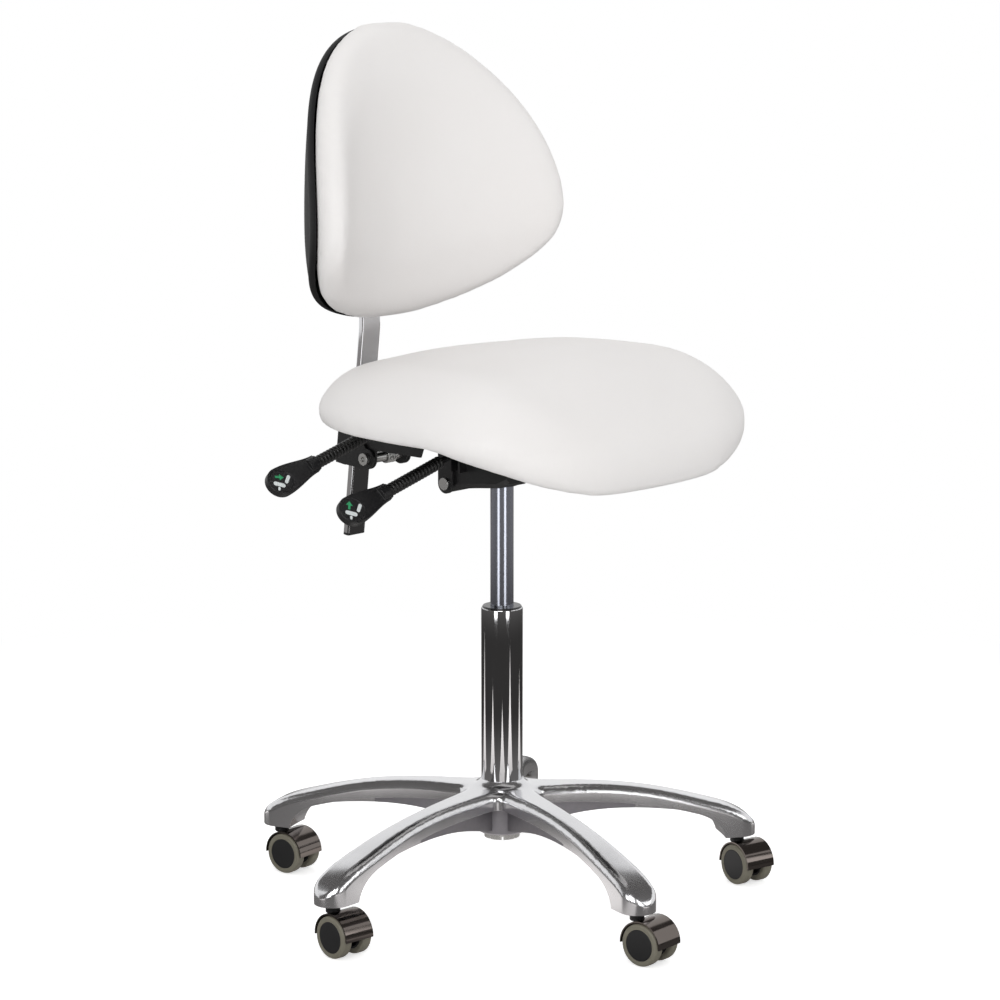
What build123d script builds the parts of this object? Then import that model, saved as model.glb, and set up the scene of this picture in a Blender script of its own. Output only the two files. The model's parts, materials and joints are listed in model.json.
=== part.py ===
"""Salon stool with a back: five-arm base on twin-wheel casters, gas lift, tilting seat and back.

Millimetres. The origin is on the floor under the column, +Z is up and the sitter faces -Y,
so the levers on the sitter's right are at -X.
"""

from build123d import *

import os
from math import cos, hypot, pi, radians, sin, sqrt, tan

# Clearances
PRESS_GAP = 0.0  # pieces of one body that are pressed together
RUNNING_GAP = 0.05  # radial gap of a shaft in its hole
SLIDE_GAP = 0.3  # gap between faces that move past each other
HOLE_GAP = 0.3  # radial gap of a screw in its hole
PIN_GAP = 0.1  # lever's finger to the release pin

# Casters
WHEEL_RADIUS = 25.0
WHEEL_WIDTH = 13.5
CASTER_WIDTH = 44.0  # over both wheel caps
CASTER_TRAIL = 19.0  # stem axis to axle
TYRE_DEPTH = 6.5
AXLE_RADIUS = 3.0
AXLE_CAP = 1.2  # wheel cap over the axle's end
HOOD_CLEARANCE = 1.4  # tyre to hood
HOOD_WALL = 1.6
HOOD_WIDTH = 41.0
HOOD_WEB_GAP = 0.5  # web to the wheels' inner faces
AXLE_BOSS_RADIUS = 8.0
STEM_RADIUS_LOW = 4.0
STEM_RADIUS_HIGH = 5.5
STEM_GRIP = 24.0  # length of the stem in the arm
COLLAR_RADIUS = 8.5
COLLAR_DROP = 11.0  # the collar's height under the arm
CASTER_TURNS = (-101.3, 133.0, -83.4, -93.6, -86.2)  # where each caster trails, degrees from +X

# Star base
ARM_COUNT = 5
BASE_TURN = -33.8  # first arm, degrees from +X
STEM_CIRCLE = 298.0  # column axis to caster stem
ARM_END_Z = 58.0  # underside of an arm's end
HUB_TOP_Z = 147.0
HUB_BOTTOM_Z = 82.0
HUB_RADIUS = 31.0
HUB_COLLAR = 8.0  # the polished top sweeps up the tube by this
HUB_SWEEP = 13.0  # and starts this far out from the tube
CROTCH_RADIUS = 11.0  # rounding between neighbouring arms
ARM_END_RADIUS = 22.0
ARM_WAIST = 17.5  # half width where the arm is slimmest
ARM_ROOT = 32.0  # half width at the column
ARM_EDGE = 11.0  # rounding of the polished ridge
WEB_INSET = 2.5  # the matt side walls stand back under the polished cap
WEB_ROOT = 7.0  # their half width at the hub
CHANNEL_HALF = 8.0  # hollow under the arm
CAP_WALL = 9.0  # metal left over the hollow

# Column
TUBE_RADIUS = 25.0
TUBE_WALL = 1.5
TUBE_TOP_Z = 358.0
TAPER_DEG = 1.43
FOOT_HEIGHT = 8.0
FOOT_PLATE = 4.0
FOOT_RADIUS = 21.5
FOOT_SPIGOT = 6.0
BUSH_LENGTH = 60.0
BUSH_RIM = 2.0
CYLINDER_RADIUS = 14.0
CYLINDER_WALL = 1.5
CYLINDER_BOTTOM_Z = 262.0
CYLINDER_DROP = 30.0  # cylinder's top below the seat board
GLAND = 10.0
ROD_RADIUS = 5.0
ROD_END_RADIUS = 4.0
BEARING_HEIGHT = 4.0
BEARING_RADIUS = 11.0
PISTON_HEIGHT = 14.0
BUMP_HEIGHT = 18.0
BUMP_RADIUS = 12.0
CLIP_HEIGHT = 1.0
CLIP_RADIUS = 7.0
VALVE_RADIUS = 4.0
VALVE_STAND = 8.0  # how far the release pin stands out of the cylinder
VALVE_TRAVEL = 4.2
VALVE_DEPTH = 10.0

# Mechanism
CUP_DROP = 73.0  # these drops are measured down from the seat board
CUP_WALL = 5.0
TRAY_HALF = 27.0
TRAY_WALL = 3.0
TRAY_FRONT_Y = -36.0
TRAY_REAR_Y = 78.0
TRAY_DROP = 32.0
TILT_Y = 64.0
TILT_DROP = 76.0
TILT_PIN_RADIUS = 6.0
TILT_HEAD_RADIUS = 7.5
TILT_HEAD = 3.0
TILT_BOSS_RADIUS = 11.0
EAR_WALL = 4.0
EAR_HALF_Y = 12.0
PLATE_TOP_Z = 580.0  # underside of the seat board
PLATE_WALL = 3.0
PLATE_HALF = 95.0
PLATE_FRONT_Y = -110.0
PLATE_REAR_Y = 140.0
PLATE_CORNER = 22.0
CHANNEL_OUT = 29.0  # outer face of the plate's rear channel
CHANNEL_WALL = 3.0
CHANNEL_FRONT_Y = 90.0
CHANNEL_DROP = 50.0
PIVOT_Y = 197.0
PIVOT_DROP = 61.5
PIVOT_RADIUS = 5.0
PIVOT_SLEEVE_RADIUS = 6.6
PIVOT_EYE = 13.0  # rounding of the ears about the back pivot
PIVOT_HEAD_RADIUS = 7.5
PIVOT_HEAD = 5.0
BRACKET_GAP = 1.0  # channel to the bracket's ears
BRACKET_WALL = 3.0
BRACKET_LOW_DROP = 72.0
BRACKET_HIGH_DROP = 20.0
SPRING_WIRE = 2.2
SPRING_GAP = 0.5  # spring to the bolt's sleeve
SPRING_TURNS = 5
SPRING_PITCH = 3.0
SPRING_START_X = -1.0
SPRING_LEG = 16.0

# Back bar
BAR_WIDTH = 30.0
BAR_DEPTH = 10.0
BAR_WALL = 2.0
BAR_CORNER = 3.0
BAR_LEAN = 6.6  # degrees forward
BAR_MARK_Y = 240.0  # the bar's axis passes here, level with the back pivot
BAR_BOTTOM_Z = 417.0
BAR_BEND_Z = 676.0  # above this the bar stands upright in the back
BAR_BEND_RADIUS = 90.0
BAR_TOP_Z = 860.0
CAP_FLANGE = 3.0
CAP_PLUG = 12.0
KNOB_RADIUS = 19.0
KNOB_LOBES = 6
KNOB_LOBE_RADIUS = 6.0
KNOB_LENGTH = 18.0
KNOB_STAND = 6.0  # knob to the bracket's ear
STUD_RADIUS = 4.0
STUD_DROP = 44.0

# Levers
LEVER_RADIUS = 4.0
LEVER_SLOPE = 15.0  # degrees down towards the hand
LEVER_PIN_RADIUS = 3.0
LEVER_LUG = 3.0
LEVER_FORK_HALF = 5.5
LEVER_PIVOT_X = -34.0
LIFT_LEVER_Y = 40.0
LIFT_LEVER_DROP = 34.0
BACK_LEVER_Y = 160.0
BACK_LEVER_DROP = 15.0
SLEEVE_START = 32.0  # along the rod from the pivot
SLEEVE_LENGTH = 92.0
SLEEVE_RADIUS = 8.0
SLEEVE_RIB = 1.4
SLEEVE_RIBS = 15
PADDLE_LENGTH = 78.0
PADDLE_HALF = 18.0
PADDLE_NECK = 10.0
PADDLE_THICK = 9.0
PADDLE_ROLL = 48.0  # the face is rolled towards the front, degrees from level
PADDLE_OVERLAP = 14.0  # rod inside the paddle

# Seat
SEAT_HALF = 248.0
SEAT_WIDEST_Y = -65.0
SEAT_FRONT_Y = -252.0
SEAT_REAR_Y = 173.0
SEAT_FRONT_POWER = 3.1
SEAT_REAR_POWER = 2.65
SEAT_THICK = 85.0
SEAT_BASE_RISE = 4.0  # cushion's underside above the board's
SEAT_DROOP = 62.0  # rolled front edge
SEAT_DROOP_Y = -94.0
SEAT_FRONT_TAPER = 0.36
SEAT_REAR_TAPER = 0.76
SEAT_LOW = 0.29  # height share of the fullest line
SEAT_LOW_RISE = 0.22  # added to it at the front
SEAT_FRONT_TUCK = 30.0  # the lower edge rounds in more at the front
SEAT_SHOULDER = 117.0
SEAT_CROWN = 5.0
BOARD_THICK = 11.0
BOARD_HALF = 165.0
BOARD_FRONT_Y = -100.0
BOARD_REAR_Y = 125.0
BOARD_CORNER = 70.0
BOLT_RADIUS = 3.0
BOLT_HEAD_RADIUS = 6.0
BOLT_HEAD = 3.5
SEAT_BOLT_X = 72.0
SEAT_BOLT_Y = (-80.0, 110.0)

# Back
BACK_HALF = 203.0
BACK_BOTTOM_Z = 691.0
BACK_TOP_Z = 1050.0
BACK_WIDEST_Z = 815.0
BACK_LOW_POWER = 2.0
BACK_HIGH_POWER = 2.0
BACK_WRAP = 110.0  # how far the side edges come forward
BACK_FOAM = 58.0  # at the middle
BACK_EDGE_FOAM = 40.0
BACK_TAPER = 0.45
PARTING_SPARE = 4.0  # cushion and shell are lofted past the parting surface, then cut to it
SHELL_DEPTH = 32.0
SHELL_EDGE = 24.0
SHELL_WALL = 3.0
SHELL_TOP_DROP = 8.0  # shell below the cushion's top
BACK_BOARD = 7.0
BACK_BOARD_INSET = 56.0
BOARD_END_INSET = 50.0
BACK_BOLT_Z = (745.0, 815.0)

# Derived places
WEB_HALF = CASTER_WIDTH / 2 - 0.5 - WHEEL_WIDTH - HOOD_WEB_GAP
WHEEL_INNER = WEB_HALF + HOOD_WEB_GAP
HOOD_INNER = WHEEL_RADIUS + HOOD_CLEARANCE
HOOD_RADIUS = HOOD_INNER + HOOD_WALL
COLLAR_Z = ARM_END_Z - COLLAR_DROP
FOOT_TOP_Z = HUB_BOTTOM_Z
FOOT_BOTTOM_Z = FOOT_TOP_Z - FOOT_HEIGHT
BEARING_Z = FOOT_TOP_Z + FOOT_SPIGOT
ROD_SHOULDER_Z = BEARING_Z + BEARING_HEIGHT
PISTON_Z = CYLINDER_BOTTOM_Z + GLAND + 4
CYLINDER_TOP_Z = PLATE_TOP_Z - CYLINDER_DROP
VALVE_TOP_Z = CYLINDER_TOP_Z + VALVE_STAND
CUP_BOTTOM_Z = PLATE_TOP_Z - CUP_DROP
TRAY_TOP_Z = PLATE_TOP_Z - TRAY_DROP
TILT_Z = PLATE_TOP_Z - TILT_DROP
PLATE_LOW_Z = PLATE_TOP_Z - PLATE_WALL
CHANNEL_LOW_Z = PLATE_TOP_Z - CHANNEL_DROP
PIVOT_Z = PLATE_TOP_Z - PIVOT_DROP
BRACKET_LOW_Z = PLATE_TOP_Z - BRACKET_LOW_DROP
BRACKET_HIGH_Z = PLATE_TOP_Z - BRACKET_HIGH_DROP
BAR_MARK_Z = PIVOT_Z
STUD_Z = PLATE_TOP_Z - STUD_DROP
LIFT_LEVER_Z = PLATE_TOP_Z - LIFT_LEVER_DROP
BACK_LEVER_Z = PLATE_TOP_Z - BACK_LEVER_DROP
SEAT_BASE_Z = PLATE_TOP_Z + SEAT_BASE_RISE
EAR_IN = TRAY_HALF + SLIDE_GAP
EAR_OUT = EAR_IN + EAR_WALL
BRACKET_IN = CHANNEL_OUT + BRACKET_GAP
BRACKET_OUT = BRACKET_IN + BRACKET_WALL
BAR_LEAN_TAN = tan(radians(BAR_LEAN))
BAR_UPRIGHT_Y = BAR_MARK_Y - (BAR_BEND_Z - BAR_MARK_Z) * BAR_LEAN_TAN
BOARD_REAR_FACE_Y = BAR_UPRIGHT_Y - BAR_DEPTH / 2
BACK_PARTING_Y = BOARD_REAR_FACE_Y - BACK_BOARD
BACK_CURVE = (BACK_HALF**2 + BACK_WRAP**2) / (2 * BACK_WRAP)  # radius of the wrapped parting surface


def solid_of(shape):
    """The one solid of a shape that an operation may have wrapped in a group."""
    return shape.solids()[0] if len(shape.solids()) == 1 else shape


def cylinder_x(radius, x0, x1, y, z):
    """A round bar along X."""
    place = Pos((x0 + x1) / 2, y, z) * Rot(0, 90, 0)
    return place * Cylinder(radius, x1 - x0)


def cylinder_y(radius, y0, y1, x, z):
    """A round bar along Y."""
    place = Pos(x, (y0 + y1) / 2, z) * Rot(90, 0, 0)
    return place * Cylinder(radius, y1 - y0)


def cylinder_z(radius, z0, z1, x=0.0, y=0.0):
    """A round bar along Z."""
    return Pos(x, y, (z0 + z1) / 2) * Cylinder(radius, z1 - z0)


def block(x0, x1, y0, y1, z0, z1):
    """A block between two corners."""
    return Pos((x0 + x1) / 2, (y0 + y1) / 2, (z0 + z1) / 2) * Box(x1 - x0, y1 - y0, z1 - z0)


def turned(points):
    """A solid of revolution about Z, from (radius, height) points."""
    profile = Plane.XZ * make_face(Polyline(*points, close=True))
    return solid_of(revolve(profile, Axis.Z))


def side_plate(outline, x0, x1):
    """A plate between two X values, from an outline of (y, z) points or edges."""
    face = Plane.YZ * make_face(outline)
    return extrude(Pos(x0, 0, 0) * face, x1 - x0, dir=(1, 0, 0))


def polygon(*points):
    return Polyline(*points, close=True)


# Base


def arm_height(share):
    """Height between an arm's end and the hub's top."""
    return ARM_END_Z + share * (HUB_TOP_Z - ARM_END_Z)


def arm_plan(root, waist, end):
    """An arm's outline from above along +X, from its half widths at hub, middle and end."""
    near = 0.14 * STEM_CIRCLE
    side = [(0, root), (near, (root + waist) / 2), (0.55 * STEM_CIRCLE, waist), (STEM_CIRCLE, end)]
    upper = Spline(*side, tangents=((1, (waist - root) / (2 * near)), (1, 0)))
    lower = mirror(upper, Plane.XZ)
    tip = ThreePointArc((STEM_CIRCLE, end), (STEM_CIRCLE + end, 0), (STEM_CIRCLE, -end))
    back = Line((0, root), (0, -root))
    return make_face([upper, tip, lower, back])


def star_prism(plan):
    """One arm's outline raised to a prism and repeated round the column."""
    one = extrude(plan, HUB_TOP_Z + HUB_COLLAR)
    star = one
    for k in range(1, ARM_COUNT):
        star += Rot(0, 0, k * 360 / ARM_COUNT) * one
    return solid_of(star)


def cap_profile():
    """Side view of the polished cap: swept up the tube, arched, with a drooping end."""
    tip = STEM_CIRCLE + ARM_END_RADIUS + 1
    heel = (STEM_CIRCLE - ARM_END_RADIUS + 2, ARM_END_Z)
    tip_top = (tip, arm_height(0.1))
    tip_low = (tip, ARM_END_Z)
    lip_end = (0.82 * STEM_CIRCLE, arm_height(0.36))
    lip_start = (0, arm_height(0.72))
    shoulder = (TUBE_RADIUS + HUB_SWEEP, HUB_TOP_Z - HUB_COLLAR)
    collar = (TUBE_RADIUS + 1, HUB_TOP_Z)
    centre = (0, HUB_TOP_Z)
    sweep = Spline(shoulder, collar, tangents=((-1, 0.1), (-0.47, 0.88)))
    top = Spline(
        shoulder,
        (0.3 * STEM_CIRCLE, arm_height(0.88)),
        (0.62 * STEM_CIRCLE, arm_height(0.75)),
        (0.87 * STEM_CIRCLE, arm_height(0.53)),
        tip_top,
        tangents=((1, -0.1), (0.4, -1)),
    )
    heel_arc = Spline(heel, lip_end, tangents=((-0.25, 1), (-1, 0.35)))
    lip = Spline(
        lip_end,
        (0.4 * STEM_CIRCLE, arm_height(0.62)),
        lip_start,
        tangents=((-1, 0.3), (-1, 0.1)),
    )
    straight = [Line(tip_top, tip_low), Line(tip_low, heel), Line(lip_start, centre), Line(centre, collar)]
    return make_face([sweep, top, heel_arc, lip] + straight)


def web_profile():
    """Side view of the matt side walls, which reach up into the cap."""
    low = [(0.3 * STEM_CIRCLE, arm_height(0.47)), (0.7 * STEM_CIRCLE, arm_height(0.45))]
    root = (0, HUB_BOTTOM_Z + 2)
    end_low = (0.85 * STEM_CIRCLE, arm_height(0.36))
    end_high = (0.86 * STEM_CIRCLE, arm_height(0.43))
    middle = (0.4 * STEM_CIRCLE, arm_height(0.68))
    high = (0, arm_height(0.8))
    edge = Spline(root, *low, end_low, tangents=((1, 0.05), (1, -0.25)))
    rest = Polyline(end_low, end_high, middle, high, root)
    return make_face([edge, rest])


def arm_hollow():
    """What the casting leaves open under one arm."""
    start = 0.38 * STEM_CIRCLE
    end = 0.8 * STEM_CIRCLE
    outline = polygon(
        (start, 0),
        (start, arm_height(0.85) - CAP_WALL),
        (0.62 * STEM_CIRCLE, arm_height(0.75) - CAP_WALL),
        (end, arm_height(0.61) - CAP_WALL),
        (end, 0),
    )
    return extrude(Pos(0, CHANNEL_HALF, 0) * (Plane.XZ * make_face(outline)), 2 * CHANNEL_HALF)


def taper_radius(z, top_radius, top_z):
    """Radius of a column taper, which narrows below its top."""
    return top_radius - (top_z - z) * tan(radians(TAPER_DEG))


def runs_to_axis(edge):
    """True for a turned face's seam, which points straight at the hub's axis."""
    place, way = edge.center(), edge.tangent_at(0.5)
    return abs(place.X * way.Y - place.Y * way.X) < 1


def base_star():
    """Hub and arms in one casting, with the tapered bore and the stem sockets."""
    seam = Rot(0, 0, 180 / ARM_COUNT)  # keeps the turned faces' seams between the arms
    prism = star_prism(arm_plan(ARM_ROOT, ARM_WAIST, ARM_END_RADIUS))
    inner = prism.edges().filter_by(
        lambda e: abs(e.tangent_at(0.5).Z) > 0.99 and hypot(e.center().X, e.center().Y) < 0.4 * STEM_CIRCLE
    )
    prism = fillet(inner, CROTCH_RADIUS)
    cap = solid_of(prism & seam * revolve(Plane.XZ * cap_profile(), Axis.Z))
    crest = cap.faces().filter_by(lambda f: f.normal_at().Z > 0.3).sort_by(SortBy.AREA)[-1]
    outer = crest.edges().filter_by(GeomType.BSPLINE).filter_by(lambda e: not runs_to_axis(e))
    cap = fillet(outer, ARM_EDGE)
    web_plan = arm_plan(WEB_ROOT, ARM_WAIST - WEB_INSET, ARM_END_RADIUS - WEB_INSET)
    web = star_prism(web_plan) & seam * revolve(Plane.XZ * web_profile(), Axis.Z)
    hub = turned(
        [
            (0, HUB_BOTTOM_Z),
            (HUB_RADIUS - 2, HUB_BOTTOM_Z),
            (HUB_RADIUS, HUB_BOTTOM_Z + 2),
            (HUB_RADIUS, arm_height(0.8)),
            (0, arm_height(0.8)),
        ]
    )
    star = cap + web + hub
    hollow = arm_hollow()
    for k in range(ARM_COUNT):
        star -= Rot(0, 0, k * 360 / ARM_COUNT) * hollow
    star = Rot(0, 0, BASE_TURN) * star
    low = taper_radius(HUB_BOTTOM_Z, TUBE_RADIUS, HUB_TOP_Z) + PRESS_GAP
    bore = TUBE_RADIUS + PRESS_GAP
    top = HUB_TOP_Z + 1
    star -= turned([(0, HUB_BOTTOM_Z), (low, HUB_BOTTOM_Z), (bore, HUB_TOP_Z), (bore, top), (0, top)])
    for x, y in stem_places():
        star -= cylinder_z(STEM_RADIUS_HIGH + PRESS_GAP, ARM_END_Z - 1, ARM_END_Z + STEM_GRIP, x, y)
    return star


def stem_places():
    """Where the caster stems stand, arm by arm."""
    angles = [radians(BASE_TURN + k * 360 / ARM_COUNT) for k in range(ARM_COUNT)]
    return [(STEM_CIRCLE * cos(a), STEM_CIRCLE * sin(a)) for a in angles]


def caster_stem():
    """A stem with its collar: gripped by the arm, and a pin for the caster to turn on."""
    return turned(
        [
            (0, WHEEL_RADIUS + 2),
            (STEM_RADIUS_LOW, WHEEL_RADIUS + 2),
            (STEM_RADIUS_LOW, COLLAR_Z),
            (COLLAR_RADIUS - 1, COLLAR_Z),
            (COLLAR_RADIUS, COLLAR_Z + 1),
            (COLLAR_RADIUS, ARM_END_Z),
            (STEM_RADIUS_HIGH, ARM_END_Z),
            (STEM_RADIUS_HIGH, ARM_END_Z + STEM_GRIP - 1),
            (0, ARM_END_Z + STEM_GRIP - 1),
        ]
    )


def caster_stems():
    return [Pos(x, y, 0) * caster_stem() for x, y in stem_places()]


def column_tube():
    """Outer tube with its lower end tapered into the hub and its mouth rounded."""
    inner = TUBE_RADIUS - TUBE_WALL
    low = taper_radius(HUB_BOTTOM_Z, TUBE_RADIUS, HUB_TOP_Z)
    return turned(
        [
            (low - TUBE_WALL, HUB_BOTTOM_Z),
            (low, HUB_BOTTOM_Z),
            (TUBE_RADIUS, HUB_TOP_Z),
            (TUBE_RADIUS, TUBE_TOP_Z - 1),
            (TUBE_RADIUS - 0.5, TUBE_TOP_Z),
            (inner, TUBE_TOP_Z),
            (inner, HUB_TOP_Z),
        ]
    )


def column_foot():
    """Pressed end that closes the tube and carries the rod, with a notched rim."""
    spigot = taper_radius(HUB_BOTTOM_Z, TUBE_RADIUS, HUB_TOP_Z) - TUBE_WALL
    hole = ROD_END_RADIUS + RUNNING_GAP
    plate_z = FOOT_TOP_Z - FOOT_PLATE
    foot = turned(
        [
            (hole, plate_z),
            (FOOT_RADIUS - 3, plate_z),
            (FOOT_RADIUS - 3, FOOT_BOTTOM_Z),
            (FOOT_RADIUS, FOOT_BOTTOM_Z),
            (FOOT_RADIUS, FOOT_TOP_Z),
            (spigot, FOOT_TOP_Z),
            (spigot, BEARING_Z),
            (hole, BEARING_Z),
        ]
    )
    notch = block(FOOT_RADIUS - 4, FOOT_RADIUS + 1, -1, 1, FOOT_BOTTOM_Z - 1, plate_z)
    for k in range(8):
        foot -= Rot(0, 0, 45 * k) * notch
    return foot


def guide_bush():
    """Plastic guide for the cylinder, with a rim on the tube's mouth."""
    bore = CYLINDER_RADIUS + RUNNING_GAP
    outer = TUBE_RADIUS - TUBE_WALL
    return turned(
        [
            (bore, TUBE_TOP_Z - BUSH_LENGTH),
            (outer, TUBE_TOP_Z - BUSH_LENGTH),
            (outer, TUBE_TOP_Z),
            (TUBE_RADIUS - 1, TUBE_TOP_Z),
            (TUBE_RADIUS - 2, TUBE_TOP_Z + BUSH_RIM),
            (bore, TUBE_TOP_Z + BUSH_RIM),
        ]
    )


def thrust_bearing():
    """Ball thrust washer between the foot and the rod's shoulder."""
    ring = Cylinder(BEARING_RADIUS, BEARING_HEIGHT) - Cylinder(ROD_END_RADIUS + RUNNING_GAP, BEARING_HEIGHT)
    groove = Cylinder(BEARING_RADIUS + 1, 1) - Cylinder(BEARING_RADIUS - 1.5, 1)
    return Pos(0, 0, BEARING_Z + BEARING_HEIGHT / 2) * (ring - groove)


# Gas spring


def piston_rod():
    """Rod with its piston, shouldered on the bearing and held under the foot by a clip."""
    bottom = FOOT_BOTTOM_Z + 1
    bore = CYLINDER_RADIUS - CYLINDER_WALL - RUNNING_GAP
    return turned(
        [
            (0, bottom),
            (ROD_END_RADIUS, bottom),
            (ROD_END_RADIUS, ROD_SHOULDER_Z),
            (ROD_RADIUS, ROD_SHOULDER_Z),
            (ROD_RADIUS, PISTON_Z),
            (bore, PISTON_Z),
            (bore, PISTON_Z + PISTON_HEIGHT),
            (0, PISTON_Z + PISTON_HEIGHT),
        ]
    )


def rod_clip():
    """Open retaining ring on the rod's lower end."""
    top = FOOT_TOP_Z - FOOT_PLATE - 0.2
    ring = cylinder_z(CLIP_RADIUS, top - CLIP_HEIGHT, top)
    ring -= cylinder_z(ROD_END_RADIUS + PRESS_GAP, top - CLIP_HEIGHT, top)
    return ring - block(0, CLIP_RADIUS + 1, -1.5, 1.5, top - CLIP_HEIGHT, top)


def bump_stop():
    """Rubber buffer around the rod's foot."""
    low = ROD_SHOULDER_Z
    return turned(
        [
            (ROD_RADIUS + RUNNING_GAP, low),
            (BEARING_RADIUS, low),
            (BUMP_RADIUS, low + 3),
            (BUMP_RADIUS, low + BUMP_HEIGHT - 4),
            (BUMP_RADIUS - 3, low + BUMP_HEIGHT),
            (ROD_RADIUS + RUNNING_GAP, low + BUMP_HEIGHT),
        ]
    )


def gas_cylinder():
    """Hollow cylinder with a gland below, and a tapered, closed top with the valve bore."""
    inner = CYLINDER_RADIUS - CYLINDER_WALL
    bore = VALVE_RADIUS + RUNNING_GAP
    neck = CYLINDER_RADIUS - (CYLINDER_TOP_Z - CUP_BOTTOM_Z) * tan(radians(TAPER_DEG))
    valve_low = CYLINDER_TOP_Z - VALVE_DEPTH - VALVE_TRAVEL - 2
    return turned(
        [
            (ROD_RADIUS + RUNNING_GAP, CYLINDER_BOTTOM_Z),
            (CYLINDER_RADIUS - 1, CYLINDER_BOTTOM_Z),
            (CYLINDER_RADIUS, CYLINDER_BOTTOM_Z + 1),
            (CYLINDER_RADIUS, CUP_BOTTOM_Z),
            (neck, CYLINDER_TOP_Z),
            (bore, CYLINDER_TOP_Z),
            (bore, valve_low),
            (0, valve_low),
            (0, valve_low - 4),
            (inner, valve_low - 12),
            (inner, CYLINDER_BOTTOM_Z + GLAND),
            (ROD_RADIUS + RUNNING_GAP, CYLINDER_BOTTOM_Z + GLAND),
        ]
    )


def valve_pin():
    """Release pin in the top of the cylinder."""
    low = CYLINDER_TOP_Z - VALVE_DEPTH
    return turned(
        [
            (0, low),
            (VALVE_RADIUS, low),
            (VALVE_RADIUS, VALVE_TOP_Z - 1),
            (VALVE_RADIUS - 1, VALVE_TOP_Z),
            (0, VALVE_TOP_Z),
        ]
    )


# Casters


def caster_hood():
    """Plated half-round hood with its centre web, stem socket and pressed axle; trails along +X."""
    axle_z = WHEEL_RADIUS
    shell = cylinder_y(HOOD_RADIUS, -HOOD_WIDTH / 2, HOOD_WIDTH / 2, CASTER_TRAIL, axle_z)
    shell -= cylinder_y(HOOD_INNER, -HOOD_WIDTH, HOOD_WIDTH, CASTER_TRAIL, axle_z)
    web = cylinder_y(HOOD_INNER + HOOD_WALL / 2, -WEB_HALF, WEB_HALF, CASTER_TRAIL, axle_z)
    reach = 2 * HOOD_RADIUS
    below = block(-reach, 2 * reach, -reach, reach, -reach, axle_z - 1)
    hood = shell + web - below
    hood += cylinder_y(AXLE_BOSS_RADIUS, -WEB_HALF, WEB_HALF, CASTER_TRAIL, axle_z)
    seat_z = COLLAR_Z - SLIDE_GAP
    hood -= cylinder_z(COLLAR_RADIUS + 2 * SLIDE_GAP, seat_z, axle_z + reach)
    hood -= cylinder_z(STEM_RADIUS_LOW + RUNNING_GAP, axle_z + 1, axle_z + reach)
    half_axle = CASTER_WIDTH / 2 - 0.5 - AXLE_CAP - SLIDE_GAP
    hood -= cylinder_y(AXLE_RADIUS + PRESS_GAP, -reach, reach, CASTER_TRAIL, axle_z)
    axle = cylinder_y(AXLE_RADIUS, -half_axle, half_axle, CASTER_TRAIL, axle_z)
    return [solid_of(hood), solid_of(axle)]


def wheel_tyre():
    """Soft tyre with rounded shoulders, turned about Z from its inner face."""
    rim = WHEEL_RADIUS - TYRE_DEPTH
    ring = cylinder_z(WHEEL_RADIUS, 0, WHEEL_WIDTH) - cylinder_z(rim, 0, WHEEL_WIDTH)
    edges = ring.edges().filter_by(GeomType.CIRCLE).filter_by(lambda e: e.radius > WHEEL_RADIUS - 0.1)
    return fillet(edges, TYRE_DEPTH / 2)


def wheel_core():
    """Moulded core: bore for the axle, plain disc and a slightly domed cap."""
    rim = WHEEL_RADIUS - TYRE_DEPTH
    bore = AXLE_RADIUS + RUNNING_GAP
    face = WHEEL_WIDTH + 0.5
    return turned(
        [
            (bore, 0),
            (2.4 * bore, 0),
            (2.4 * bore, 0.7 * WHEEL_WIDTH),
            (rim - 3, 0.7 * WHEEL_WIDTH),
            (rim - 2, 0.5),
            (rim, 0.5),
            (rim, WHEEL_WIDTH - 0.6),
            (rim - 0.8, face - 0.6),
            (0.5 * rim, face - 0.1),
            (0, face),
            (0, face - AXLE_CAP),
            (bore, face - AXLE_CAP),
        ]
    )


def on_axle(piece, side):
    """Places a wheel piece on the axle, on one side (+1 or -1) of the web."""
    place = Pos(CASTER_TRAIL, side * WHEEL_INNER, WHEEL_RADIUS) * Rot(-90 * side, 0, 0)
    return place * piece


# Mechanism


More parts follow.
